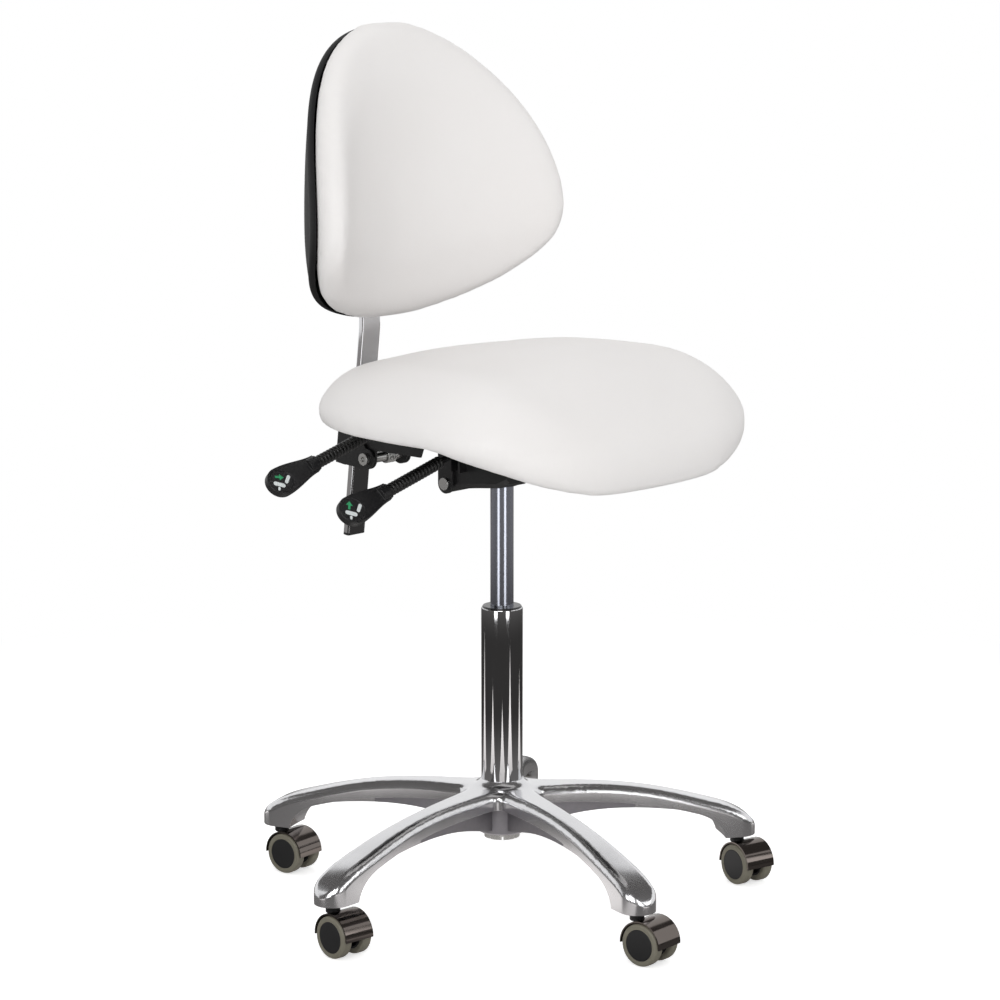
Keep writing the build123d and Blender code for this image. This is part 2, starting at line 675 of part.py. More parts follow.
def chassis():
    """Pressed tray under the seat: cup for the gas spring, tilt boss and the lift lever's fork."""
    keel_z = TILT_Z - TILT_BOSS_RADIUS
    side = [
        (TRAY_FRONT_Y, TRAY_TOP_Z),
        (TRAY_FRONT_Y + 4, CUP_BOTTOM_Z + 7),
        (-CYLINDER_RADIUS - 3, CUP_BOTTOM_Z),
        (CYLINDER_RADIUS + 3, CUP_BOTTOM_Z - 4),
        (TILT_Y - TILT_BOSS_RADIUS, keel_z + 5),
        (TILT_Y, keel_z + 3),
        (TRAY_REAR_Y, TILT_Z + 3),
        (TRAY_REAR_Y, TRAY_TOP_Z),
    ]
    tray = side_plate(polygon(*side), -TRAY_HALF, TRAY_HALF)
    long_edges = tray.edges().filter_by(lambda e: abs(e.center().X) > TRAY_HALF - 1)
    low_edges = long_edges.filter_by(lambda e: e.center().Z < CUP_BOTTOM_Z + 5)
    tray = chamfer(low_edges.filter_by(lambda e: e.center().Y < TILT_Y - TILT_BOSS_RADIUS), 6)
    inner = [
        (TRAY_FRONT_Y + TRAY_WALL, TRAY_TOP_Z + 1),
        (TRAY_FRONT_Y + TRAY_WALL + 4, CUP_BOTTOM_Z + 10),
        (CYLINDER_RADIUS + 3, CUP_BOTTOM_Z + 4),
        (TILT_Y - TILT_BOSS_RADIUS, CUP_BOTTOM_Z + 4),
        (TRAY_REAR_Y - TRAY_WALL, TILT_Z + TILT_BOSS_RADIUS),
        (TRAY_REAR_Y - TRAY_WALL, TRAY_TOP_Z + 1),
    ]
    tray -= side_plate(polygon(*inner), TRAY_WALL - TRAY_HALF, TRAY_HALF - TRAY_WALL)
    cup_top = CYLINDER_TOP_Z - 6
    slope = tan(radians(TAPER_DEG))
    bore_top = CYLINDER_RADIUS - (cup_top - CUP_BOTTOM_Z) * slope + PRESS_GAP
    tray += cylinder_z(CYLINDER_RADIUS + CUP_WALL, CUP_BOTTOM_Z, cup_top)
    tray += cylinder_x(TILT_BOSS_RADIUS, -TRAY_HALF, TRAY_HALF, TILT_Y, TILT_Z)
    tray -= turned(
        [
            (0, keel_z - 1),
            (CYLINDER_RADIUS + PRESS_GAP, keel_z - 1),
            (CYLINDER_RADIUS + PRESS_GAP, CUP_BOTTOM_Z),
            (bore_top, cup_top),
            (bore_top, cup_top + 1),
            (0, cup_top + 1),
        ]
    )
    tray -= cylinder_x(TILT_PIN_RADIUS + PRESS_GAP, -2 * TRAY_HALF, 2 * TRAY_HALF, TILT_Y, TILT_Z)
    notch = (LIFT_LEVER_Y - LEVER_FORK_HALF, LIFT_LEVER_Y + LEVER_FORK_HALF)
    tray -= block(-TRAY_HALF - 1, 2 - TRAY_HALF + TRAY_WALL, *notch, LIFT_LEVER_Z - 9, TRAY_TOP_Z + 1)
    return tray + lever_fork(LIFT_LEVER_Y, LIFT_LEVER_Z, 1 - TRAY_HALF, CUP_BOTTOM_Z + 15)


def lever_fork(y, z, wall_x, low_z):
    """Two lugs on a wall that hold a lever's cross pin."""
    eye = LEVER_PIN_RADIUS + 3
    lugs = []
    for side in (-1, 1):
        centre = y + side * (LEVER_FORK_HALF + LEVER_LUG / 2)
        y0, y1 = centre - LEVER_LUG / 2, centre + LEVER_LUG / 2
        lug = block(LEVER_PIVOT_X - eye, wall_x, y0, y1, low_z, z)
        lug += cylinder_y(eye, y0, y1, LEVER_PIVOT_X, z)
        lug -= cylinder_y(LEVER_PIN_RADIUS + RUNNING_GAP, y0 - 1, y1 + 1, LEVER_PIVOT_X, z)
        lugs.append(lug)
    return lugs[0] + lugs[1]


def tilt_pivot_pin():
    """Bright pin through chassis and ears, headed at both ends."""
    half = EAR_OUT + SLIDE_GAP
    pin = cylinder_x(TILT_PIN_RADIUS, -half, half, TILT_Y, TILT_Z)
    for side in (-1, 1):
        outer = side * (half + TILT_HEAD)
        x0, x1 = sorted((side * half, outer))
        pin += cylinder_x(TILT_HEAD_RADIUS, x0, x1, TILT_Y, TILT_Z)
    return pin


def tilt_ears():
    """Plated ears that hang the seat plate on the tilt pin."""
    ears = []
    for side in (-1, 1):
        x0, x1 = sorted((side * EAR_IN, side * EAR_OUT))
        ear = block(x0, x1, TILT_Y - EAR_HALF_Y, TILT_Y + EAR_HALF_Y, TILT_Z, PLATE_LOW_Z)
        ear += cylinder_x(EAR_HALF_Y, x0, x1, TILT_Y, TILT_Z)
        ear -= cylinder_x(TILT_PIN_RADIUS + RUNNING_GAP, x0 - 1, x1 + 1, TILT_Y, TILT_Z)
        ears.append(solid_of(ear))
    return ears


def seat_plate():
    """Pressed plate with a stiffening rim, and the rear channel that carries the back."""
    middle_y = (PLATE_FRONT_Y + PLATE_REAR_Y) / 2
    length = PLATE_REAR_Y - PLATE_FRONT_Y
    plan = RectangleRounded(2 * PLATE_HALF, length, PLATE_CORNER)
    plate = extrude(Pos(0, middle_y, PLATE_LOW_Z) * plan, PLATE_WALL)
    rear = PIVOT_Y + PIVOT_EYE
    tongue = block(-CHANNEL_OUT, CHANNEL_OUT, CHANNEL_FRONT_Y, rear, PLATE_LOW_Z, PLATE_TOP_Z)
    plate += tongue
    for side in (-1, 1):
        x0, x1 = sorted((side * (CHANNEL_OUT - CHANNEL_WALL), side * CHANNEL_OUT))
        flank = side_plate(
            polygon(
                (CHANNEL_FRONT_Y, PLATE_LOW_Z + 1),
                (CHANNEL_FRONT_Y + 18, CHANNEL_LOW_Z),
                (PIVOT_Y - PIVOT_EYE, CHANNEL_LOW_Z),
                (PIVOT_Y - PIVOT_EYE, PIVOT_Z),
                (rear, PIVOT_Z),
                (rear, PLATE_LOW_Z + 1),
            ),
            x0,
            x1,
        )
        flank += cylinder_x(PIVOT_EYE, x0, x1, PIVOT_Y, PIVOT_Z)
        flank -= cylinder_x(PIVOT_RADIUS + RUNNING_GAP, x0 - 1, x1 + 1, PIVOT_Y, PIVOT_Z)
        plate += flank
    passage = LEVER_RADIUS + 2
    plate -= cylinder_x(passage, -CHANNEL_OUT - 1, 0, BACK_LEVER_Y, BACK_LEVER_Z)
    plate += lever_fork(BACK_LEVER_Y, BACK_LEVER_Z, -CHANNEL_OUT + 0.5, BACK_LEVER_Z - 7)
    for x, y in seat_bolt_places():
        plate -= cylinder_z(BOLT_RADIUS + HOLE_GAP, PLATE_LOW_Z - 1, PLATE_TOP_Z + 1, x, y)
    return plate


def seat_bolt_places():
    return [(x, y) for x in (-SEAT_BOLT_X, SEAT_BOLT_X) for y in SEAT_BOLT_Y]


def seat_bolts():
    """Screws up through the plate into the seat board."""
    bolts = []
    for x, y in seat_bolt_places():
        head = cylinder_z(BOLT_HEAD_RADIUS, PLATE_LOW_Z - BOLT_HEAD, PLATE_LOW_Z, x, y)
        bolts.append(solid_of(head + cylinder_z(BOLT_RADIUS, PLATE_LOW_Z, PLATE_TOP_Z + 8, x, y)))
    return bolts


# Back support


def bar_y(z):
    """Y of the bar's axis on its leaning lower length."""
    return BAR_MARK_Y - (z - BAR_MARK_Z) * BAR_LEAN_TAN


def bar_section(width, depth, corner):
    """The bar's flat-oval section at its lower end, square to its axis."""
    plane = Plane(
        origin=(0, bar_y(BAR_BOTTOM_Z), BAR_BOTTOM_Z),
        x_dir=(1, 0, 0),
        z_dir=(0, -sin(radians(BAR_LEAN)), cos(radians(BAR_LEAN))),
    )
    return plane * RectangleRounded(width, depth, corner)


def bar_path():
    """Leaning length, one gentle bend, then upright inside the back."""
    points = [
        (0, bar_y(BAR_BOTTOM_Z), BAR_BOTTOM_Z),
        (0, BAR_UPRIGHT_Y, BAR_BEND_Z),
        (0, BAR_UPRIGHT_Y, BAR_TOP_Z),
    ]
    return FilletPolyline(*points, radius=BAR_BEND_RADIUS)


def back_bar():
    """Flat-oval chromed tube, with the holes for the back's screws."""
    path = bar_path()
    bar = sweep(bar_section(BAR_WIDTH, BAR_DEPTH, BAR_CORNER), path=path)
    hollow = bar_section(BAR_WIDTH - 2 * BAR_WALL, BAR_DEPTH - 2 * BAR_WALL, BAR_CORNER / 2)
    bar -= sweep(hollow, path=path)
    for z in BACK_BOLT_Z:
        bar -= cylinder_y(BOLT_RADIUS + HOLE_GAP, BAR_UPRIGHT_Y - 20, BAR_UPRIGHT_Y + 20, 0, z)
    return bar


def lean(piece):
    """Places a piece modelled about the bar's mark, with Z along the bar."""
    return Pos(0, BAR_MARK_Y, BAR_MARK_Z) * Rot(BAR_LEAN, 0, 0) * piece


def bar_end_cap():
    """Plug in the bar's open lower end."""
    end = -(BAR_MARK_Z - BAR_BOTTOM_Z) / cos(radians(BAR_LEAN))
    flange = extrude(RectangleRounded(BAR_WIDTH, BAR_DEPTH, BAR_CORNER), CAP_FLANGE)
    plug = RectangleRounded(BAR_WIDTH - 2 * BAR_WALL, BAR_DEPTH - 2 * BAR_WALL, BAR_CORNER / 2)
    cap = Pos(0, 0, end - CAP_FLANGE) * flange + Pos(0, 0, end) * extrude(plug, CAP_PLUG)
    return lean(solid_of(cap))


def back_bracket():
    """Folded bracket: two ears on the pivot and a guide for the bar between them."""
    guide_x = BAR_WIDTH / 2 + SLIDE_GAP
    guide_y = BAR_DEPTH / 2 + SLIDE_GAP
    low, high = BRACKET_LOW_Z - BAR_MARK_Z, BRACKET_HIGH_Z - BAR_MARK_Z
    outer_y = guide_y + BRACKET_WALL
    guide = block(-BRACKET_OUT, BRACKET_OUT, -outer_y, outer_y, low, high)
    guide -= block(-guide_x, guide_x, -guide_y, guide_y, low - 1, high + 1)
    side_in = guide_x + BRACKET_WALL
    for side in (-1, 1):
        x0, x1 = sorted((side * side_in, side * (BRACKET_IN)))
        guide -= block(x0, x1, -outer_y - 1, guide_y, low - 1, high + 1)
    bracket = lean(guide)
    for side in (-1, 1):
        x0, x1 = sorted((side * BRACKET_IN, side * BRACKET_OUT))
        ear = side_plate(
            polygon(
                (PIVOT_Y, PIVOT_Z - PIVOT_EYE),
                (bar_y(BRACKET_LOW_Z) - 2, BRACKET_LOW_Z),
                (bar_y(BRACKET_HIGH_Z) - 2, BRACKET_HIGH_Z - 1),
                (bar_y(BRACKET_HIGH_Z) - 16, BRACKET_HIGH_Z - 6),
                (PIVOT_Y, PIVOT_Z + PIVOT_EYE),
            ),
            x0,
            x1,
        )
        ear += cylinder_x(PIVOT_EYE, x0, x1, PIVOT_Y, PIVOT_Z)
        ear -= cylinder_x(PIVOT_RADIUS + RUNNING_GAP, x0 - 1, x1 + 1, PIVOT_Y, PIVOT_Z)
        bracket += ear
    bracket -= cylinder_x(STUD_RADIUS + RUNNING_GAP, 0, BRACKET_OUT + 1, bar_y(STUD_Z), STUD_Z)
    return bracket


def back_pivot_bolt():
    """Shouldered bolt with a socket head, through channel and bracket."""
    end = BRACKET_OUT + SLIDE_GAP
    bolt = cylinder_x(PIVOT_RADIUS, -end, end, PIVOT_Y, PIVOT_Z)
    sleeve = CHANNEL_OUT - CHANNEL_WALL - SLIDE_GAP
    bolt += cylinder_x(PIVOT_SLEEVE_RADIUS, -sleeve, sleeve, PIVOT_Y, PIVOT_Z)
    head = cylinder_x(PIVOT_HEAD_RADIUS, -end - PIVOT_HEAD, -end, PIVOT_Y, PIVOT_Z)
    socket = extrude(Plane.YZ * RegularPolygon(0.5 * PIVOT_HEAD_RADIUS, 6), 3)
    head -= Pos(-end - PIVOT_HEAD, PIVOT_Y, PIVOT_Z) * socket
    nut = extrude(Plane.YZ * RegularPolygon(PIVOT_HEAD_RADIUS, 6), PIVOT_HEAD)
    return bolt + head + Pos(end, PIVOT_Y, PIVOT_Z) * nut


def biarc(p0, t0, p1, t1):
    """Two arcs from one point and direction to another, meeting smoothly."""
    chord = p1 - p0
    both = t0 + t1
    a = 2 * (t0.dot(t1) - 1)
    b = -2 * chord.dot(both)
    c = chord.dot(chord)
    reach = (-b - sqrt(b * b - 4 * a * c)) / (2 * a)
    leave, arrive = p0 + t0 * reach, p1 - t1 * reach
    middle = (leave + arrive) * 0.5
    return [TangentArc(p0, middle, tangent=t0), TangentArc(middle, p1, tangent=arrive - leave)]


def spring_point(turn):
    """Point and direction on the spring's helix, by turns from its start."""
    radius = PIVOT_SLEEVE_RADIUS + SPRING_GAP + SPRING_WIRE / 2
    angle = 2 * pi * turn + pi / 2
    place = Vector(
        SPRING_START_X + SPRING_PITCH * turn,
        PIVOT_Y + radius * cos(angle),
        PIVOT_Z + radius * sin(angle),
    )
    along = Vector(SPRING_PITCH / (2 * pi * radius), -sin(angle), cos(angle))
    return place, along.normalized()


def back_spring():
    """Torsion spring on the pivot, one wire with two straight legs."""
    quarters = 4 * SPRING_TURNS
    first, start = spring_point(0)
    last, end = spring_point(SPRING_TURNS)
    edges = [Line(first - start * SPRING_LEG, first)]
    for k in range(quarters):
        p0, t0 = spring_point(k / 4)
        p1, t1 = spring_point((k + 1) / 4)
        edges += biarc(p0, t0, p1, t1)
    edges.append(Line(last, last + end * SPRING_LEG))
    path = Wire(edges)
    ring = Plane(origin=path @ 0, z_dir=path % 0) * Circle(SPRING_WIRE / 2)
    steps = 24
    points = [spring_point(k / steps)[0] for k in range(steps * SPRING_TURNS + 1)]
    gaps = [(p - q).length for i, p in enumerate(points) for q in points[i + steps // 2 :]]
    print(f"back spring: least gap to itself {min(gaps) - SPRING_WIRE:.2f} mm")
    return solid_of(sweep(ring, path=path))


def clamp_knob():
    """Lobed knob on its stud, which presses on the bar's edge."""
    inner = BRACKET_OUT + KNOB_STAND
    y = bar_y(STUD_Z)
    plan = Circle(KNOB_RADIUS - KNOB_LOBE_RADIUS / 2)
    for k in range(KNOB_LOBES):
        angle = radians(k * 360 / KNOB_LOBES)
        reach = KNOB_RADIUS - KNOB_LOBE_RADIUS
        plan += Pos(reach * cos(angle), reach * sin(angle)) * Circle(KNOB_LOBE_RADIUS)
    head = extrude(Plane.YZ * plan, KNOB_LENGTH)
    knob = Pos(inner, y, STUD_Z) * head
    knob += cylinder_x(STUD_RADIUS + 3, BRACKET_OUT + SLIDE_GAP, inner, y, STUD_Z)
    return knob + cylinder_x(STUD_RADIUS, BAR_WIDTH / 2 + SLIDE_GAP / 2, inner, y, STUD_Z)


# Levers


def along_lever(y, z):
    """Frame of a lever: X runs down along the rod towards the hand, from the pivot."""
    slope = radians(LEVER_SLOPE)
    along = (-cos(slope), 0, -sin(slope))
    upward = (-sin(slope), 0, cos(slope))
    return Plane(origin=(LEVER_PIVOT_X, y, z), x_dir=along, z_dir=upward)


def lever_rod(y, z, inner_points):
    """Bent rod from the grip through the pivot to what it works, with its cross pin."""
    reach = SLEEVE_START + SLEEVE_LENGTH + PADDLE_OVERLAP
    outer = along_lever(y, z).from_local_coords(Vector(reach, 0, 0))
    points = [outer, Vector(LEVER_PIVOT_X, y, z)] + inner_points
    pin_half = LEVER_FORK_HALF + LEVER_LUG
    rod = cylinder_y(LEVER_PIN_RADIUS, y - pin_half, y + pin_half, LEVER_PIVOT_X, z)
    for start, end in zip(points, points[1:]):
        length = (end - start).length
        rod += extrude(Plane(origin=start, z_dir=end - start) * Circle(LEVER_RADIUS), length)
        rod += Pos(*end) * Sphere(LEVER_RADIUS)
    return rod


def lever_sleeve(y, z):
    """Ribbed soft sleeve around the rod."""
    pitch = SLEEVE_LENGTH / SLEEVE_RIBS
    valley = SLEEVE_RADIUS - SLEEVE_RIB
    bore = LEVER_RADIUS + PRESS_GAP
    points = [(bore, 0)]
    for k in range(SLEEVE_RIBS):
        points += [(valley, k * pitch)]
        points += [(SLEEVE_RADIUS, (k + 0.35) * pitch), (SLEEVE_RADIUS, (k + 0.7) * pitch)]
    points += [(valley, SLEEVE_LENGTH), (bore, SLEEVE_LENGTH)]
    frame = along_lever(y, z)
    place = Plane(origin=frame.from_local_coords(Vector(SLEEVE_START, 0, 0)), z_dir=frame.x_dir)
    return place.location * turned(points)


def lever_paddle(y, z):
    """Spade-shaped grip with a raised rim round its face, pushed on the rod's end."""
    start = SLEEVE_START + SLEEVE_LENGTH
    round_end = PADDLE_LENGTH - PADDLE_HALF
    blade = [
        Line((0, -PADDLE_NECK), (0, PADDLE_NECK)),
        Spline(
            (0, PADDLE_NECK),
            (0.3 * PADDLE_LENGTH, PADDLE_NECK + 3),
            (round_end, PADDLE_HALF),
            tangents=((1, 0), (1, 0)),
        ),
        ThreePointArc((round_end, PADDLE_HALF), (PADDLE_LENGTH, 0), (round_end, -PADDLE_HALF)),
        Spline(
            (round_end, -PADDLE_HALF),
            (0.3 * PADDLE_LENGTH, -PADDLE_NECK - 3),
            (0, -PADDLE_NECK),
            tangents=((-1, 0), (-1, 0)),
        ),
    ]
    body = extrude(Pos(0, 0, -PADDLE_THICK / 2) * make_face(blade), PADDLE_THICK)
    body += Pos(7, 0, 0) * Rot(0, 90, 0) * Cylinder(PADDLE_NECK, 14)
    face = extrude(Pos(round_end, 0, PADDLE_THICK / 2 - 1.2) * Circle(PADDLE_HALF - 3), 5)
    body -= face
    bore = Rot(0, 90, 0) * Cylinder(LEVER_RADIUS + PRESS_GAP, PADDLE_OVERLAP)
    body -= Pos(PADDLE_OVERLAP / 2, 0, 0) * bore
    rolled = Rot(-PADDLE_ROLL, 0, 0) * body
    return along_lever(y, z).location * (Pos(start, 0, 0) * rolled)


# Cushions


def seat_share(y):
    """Plan width of the seat at a station, as a share of its full width."""
    if y < SEAT_WIDEST_Y:
        along = (SEAT_WIDEST_Y - y) / (SEAT_WIDEST_Y - SEAT_FRONT_Y)
        return (1 - along**SEAT_FRONT_POWER) ** (1 / SEAT_FRONT_POWER)
    along = (y - SEAT_WIDEST_Y) / (SEAT_REAR_Y - SEAT_WIDEST_Y)
    return (1 - along**SEAT_REAR_POWER) ** (1 / SEAT_REAR_POWER)


def seat_section(y):
    """One cross-section of the seat cushion: flat below, full sides, rolled shoulders, crowned top."""
    share = seat_share(y)
    half = SEAT_HALF * share
    taper = SEAT_FRONT_TAPER if y < SEAT_WIDEST_Y else SEAT_REAR_TAPER
    thick = SEAT_THICK * share**taper
    fall = max(0.0, (SEAT_DROOP_Y - y) / (SEAT_DROOP_Y - SEAT_FRONT_Y))
    front = max(0.0, (SEAT_WIDEST_Y - y) / (SEAT_WIDEST_Y - SEAT_FRONT_Y))
    low = SEAT_LOW + SEAT_LOW_RISE * front**2
    base = SEAT_BASE_Z + low * (SEAT_THICK - thick) - SEAT_DROOP * fall**2
    full_z = low * thick
    crown = SEAT_CROWN * thick / SEAT_THICK
    shoulder = min(SEAT_SHOULDER * thick / SEAT_THICK, 0.85 * half)
    tuck = min(0.5 * full_z + 6 + SEAT_FRONT_TUCK * front**2, 0.5 * half)
    rise = thick - crown - full_z
    bend = sqrt(0.5)
    right = [
        (half - tuck, 0),
        (half - tuck * (1 - bend), full_z * (1 - bend)),
        (half, full_z),
        (half - shoulder * (1 - bend), full_z + rise * bend),
        (half - shoulder, full_z + rise),
    ]
    left = [(-x, z) for x, z in right]
    plane = Plane(origin=(0, y, base), x_dir=(1, 0, 0), z_dir=(0, -1, 0))
    outline = [
        Line(left[0], right[0]),
        ThreePointArc(*right[0:3]),
        ThreePointArc(*right[2:5]),
        ThreePointArc(right[4], (0, thick), left[4]),
        ThreePointArc(left[4], left[3], left[2]),
        ThreePointArc(left[2], left[1], left[0]),
    ]
    return plane * make_face(outline)


def stations(low, middle, high, count, reach):
    """Section places that crowd towards both ends and stop just short of them."""
    spots = [sin(pi / 2 * reach * (2 * k / (count - 1) - 1)) for k in range(count)]
    return [middle + s * (middle - low if s < 0 else high - middle) for s in spots]


def board_plan(offset):
    """Outline of the seat board, larger by an offset."""
    width = 2 * (BOARD_HALF + offset)
    length = BOARD_REAR_Y - BOARD_FRONT_Y + 2 * offset
    middle_y = (BOARD_FRONT_Y + BOARD_REAR_Y) / 2
    return Pos(0, middle_y, PLATE_TOP_Z) * RectangleRounded(width, length, BOARD_CORNER + offset)


def seat_cushion():
    """Upholstered seat with a rolled front edge, hollowed below for its board."""
    spots = stations(SEAT_FRONT_Y, SEAT_WIDEST_Y, SEAT_REAR_Y, 17, 0.975)
    cushion = loft([seat_section(y) for y in spots])
    return cushion - extrude(board_plan(SLIDE_GAP), BOARD_THICK + SLIDE_GAP)


def seat_board():
    """Board that the seat is upholstered on, with the screws' holes."""
    board = extrude(board_plan(0), BOARD_THICK)
    for x, y in seat_bolt_places():
        board -= cylinder_z(BOLT_RADIUS + PRESS_GAP, PLATE_TOP_Z - 1, PLATE_TOP_Z + 8, x, y)
    return board


def back_share(z):
    """Width of the back at a height, as a share of its full width."""
    if z < BACK_WIDEST_Z:
        along = (BACK_WIDEST_Z - z) / (BACK_WIDEST_Z - BACK_BOTTOM_Z)
        return (1 - along**BACK_LOW_POWER) ** (1 / BACK_LOW_POWER)
    along = (z - BACK_WIDEST_Z) / (BACK_TOP_Z - BACK_WIDEST_Z)
    return (1 - along**BACK_HIGH_POWER) ** (1 / BACK_HIGH_POWER)


def parting(x):
    """Y of the round surface where cushion and shell meet: wrapped forward at the sides."""
    return BACK_PARTING_Y - BACK_CURVE + sqrt(BACK_CURVE**2 - x**2)


def parting_drum(offset):
    """A tall drum whose wall is the parting surface, larger by an offset."""
    height = BACK_TOP_Z - BACK_BOTTOM_Z + 80
    middle_z = (BACK_TOP_Z + BACK_BOTTOM_Z) / 2
    return Pos(0, BACK_PARTING_Y - BACK_CURVE, middle_z) * Cylinder(BACK_CURVE + offset, height)


def back_stations():
    return stations(BACK_BOTTOM_Z, BACK_WIDEST_Z, BACK_TOP_Z, 13, 0.92)


def cushion_section(z):
    """Horizontal section of the back cushion: wrapped rear, hollow front, full sides."""
    share = back_share(z)
    half = BACK_HALF * share
    foam = BACK_FOAM * share**BACK_TAPER
    edge = BACK_EDGE_FOAM * share**BACK_TAPER
    rear = half - 0.2 * edge
    front = half - 0.45 * edge
    right_rear = (rear, parting(rear) + PARTING_SPARE)
    right_full = (half, parting(rear) - 0.45 * edge)
    right_front = (front, parting(rear) - edge)
    left_rear, left_full, left_front = ((-x, y) for x, y in (right_rear, right_full, right_front))
    outline = [
        ThreePointArc(left_rear, (0, BACK_PARTING_Y + PARTING_SPARE), right_rear),
        ThreePointArc(right_rear, right_full, right_front),
        ThreePointArc(right_front, (0, BACK_PARTING_Y - foam), left_front),
        ThreePointArc(left_front, left_full, left_rear),
    ]
    return Pos(0, 0, z) * make_face(outline)


def shell_section(z, inset):
    """Horizontal section of the back shell, or of its hollow with an inset."""
    share = back_share(z)
    rear = BACK_HALF * share - 0.2 * BACK_EDGE_FOAM * share**BACK_TAPER - inset
    depth = SHELL_DEPTH * share**BACK_TAPER - inset
    edge = SHELL_EDGE * share**BACK_TAPER - inset
    right_front = (rear, parting(rear) - PARTING_SPARE)
    right_bend = (rear - 0.12 * edge, parting(rear) + 0.6 * edge)
    right_rear = (rear - 0.5 * edge, parting(rear) + edge)
    left_front, left_bend, left_rear = ((-x, y) for x, y in (right_front, right_bend, right_rear))
    outline = [
        ThreePointArc(left_front, (0, BACK_PARTING_Y - PARTING_SPARE), right_front),
        ThreePointArc(right_front, right_bend, right_rear),
        ThreePointArc(right_rear, (0, BACK_PARTING_Y + depth), left_rear),
        ThreePointArc(left_rear, left_bend, left_front),
    ]
    above = max(0.0, (z - BACK_WIDEST_Z) / (BACK_TOP_Z - BACK_WIDEST_Z))
    return Pos(0, 0, z - SHELL_TOP_DROP * above) * make_face(outline)


def back_cushion():
    """Upholstered back, wrapped round the sitter."""
    return loft([cushion_section(z) for z in back_stations()]) & parting_drum(0)


def back_shell():
    """Moulded shell behind the cushion, open to the front, with the slot for the bar."""
    spots = back_stations()
    shell = loft([shell_section(z, 0) for z in spots])
    shell -= loft([shell_section(z, SHELL_WALL) for z in spots[1:-1]])
    shell -= parting_drum(SLIDE_GAP)
    slot_x = BAR_WIDTH / 2 + 1
    slot_y = BAR_DEPTH / 2 + 1
    slot = (-slot_x, slot_x, BAR_UPRIGHT_Y - slot_y, BAR_UPRIGHT_Y + slot_y)
    return shell - block(*slot, BACK_BOTTOM_Z - 10, BACK_WIDEST_Z)


def back_board():
    """Moulded board that carries the back cushion and takes the bar's screws."""
    half = BACK_HALF - BACK_BOARD_INSET
    above = BACK_TOP_Z - BOARD_END_INSET - BACK_WIDEST_Z
    below = BACK_WIDEST_Z - BACK_BOTTOM_Z - BOARD_END_INSET
    outline = Ellipse(half, above) & Pos(0, above / 2) * Rectangle(2 * half, above)
    outline += Ellipse(half, below) & Pos(0, -below / 2) * Rectangle(2 * half, below)
    front = Plane.XZ * (Pos(0, BACK_WIDEST_Z) * outline)
    board = extrude(Pos(0, BACK_PARTING_Y + BACK_HALF, 0) * front, 2 * BACK_HALF)
    board &= parting_drum(BACK_BOARD) - parting_drum(SLIDE_GAP)
    for z in BACK_BOLT_Z:
        board -= cylinder_y(BOLT_RADIUS + PRESS_GAP, BACK_PARTING_Y - 9, BAR_UPRIGHT_Y, 0, z)
    return board


def back_bolts():
    """Screws through the bar into the back's board."""
    rear = BAR_UPRIGHT_Y + BAR_DEPTH / 2
    bolts = []
    for z in BACK_BOLT_Z:
        head = cylinder_y(BOLT_HEAD_RADIUS, rear, rear + BOLT_HEAD, 0, z)
        shank = cylinder_y(BOLT_RADIUS, BACK_PARTING_Y + 1, rear, 0, z)
        bolts.append(solid_of(head + shank))
    return bolts


def build():
    """All pieces by name, each a shape or a list of separate solids."""
    finger_z = VALVE_TOP_Z + PIN_GAP + LEVER_RADIUS
    inside_x = LEVER_PIVOT_X + 14
    lift_finger = [
        Vector(inside_x, LIFT_LEVER_Y, LIFT_LEVER_Z + 3.5),
        Vector(-9, 13, finger_z),
        Vector(0, -1, finger_z),
    ]
    back_finger = [Vector(inside_x + 10, BACK_LEVER_Y, BACK_LEVER_Z)]
    pieces = {
        "base_star": base_star(),
        "caster_stems": caster_stems(),
        "column_tube": column_tube(),
        "column_foot": column_foot(),
        "guide_bush": guide_bush(),
        "thrust_bearing": thrust_bearing(),
        "piston_rod": piston_rod(),
        "rod_clip": rod_clip(),
        "bump_stop": bump_stop(),
        "gas_cylinder": gas_cylinder(),
        "valve_pin": valve_pin(),
        "chassis": chassis(),
        "tilt_pivot_pin": tilt_pivot_pin(),
        "tilt_ears": tilt_ears(),
        "seat_plate": seat_plate(),
        "seat_bolts": seat_bolts(),
        "seat_board": seat_board(),
        "seat_cushion": seat_cushion(),
        "lift_lever_rod": lever_rod(LIFT_LEVER_Y, LIFT_LEVER_Z, lift_finger),
        "lift_lever_sleeve": lever_sleeve(LIFT_LEVER_Y, LIFT_LEVER_Z),
        "lift_lever_paddle": lever_paddle(LIFT_LEVER_Y, LIFT_LEVER_Z),
        "back_lever_rod": lever_rod(BACK_LEVER_Y, BACK_LEVER_Z, back_finger),
        "back_lever_sleeve": lever_sleeve(BACK_LEVER_Y, BACK_LEVER_Z),
        "back_lever_paddle": lever_paddle(BACK_LEVER_Y, BACK_LEVER_Z),
        "back_bracket": back_bracket(),
        "back_pivot_bolt": back_pivot_bolt(),
        "back_spring": back_spring(),
        "clamp_knob": clamp_knob(),
        "back_bar": back_bar(),
        "bar_end_cap": bar_end_cap(),
        "back_board": back_board(),
        "back_cushion": back_cushion(),
        "back_shell": back_shell(),
        "back_bolts": back_bolts(),
    }
    hood, tyre, core = caster_hood(), wheel_tyre(), wheel_core()
    for k, (x, y) in enumerate(stem_places()):
        place = Pos(x, y, 0) * Rot(0, 0, CASTER_TURNS[k])
        name = f"caster_{k + 1}"
        pieces[f"{name}_hood"] = [place * piece for piece in hood]
        for side, letter in ((1, "a"), (-1, "b")):
            pieces[f"{name}_tyre_{letter}"] = place * on_axle(tyre, side)
            pieces[f"{name}_core_{letter}"] = place * on_axle(core, side)
    return pieces


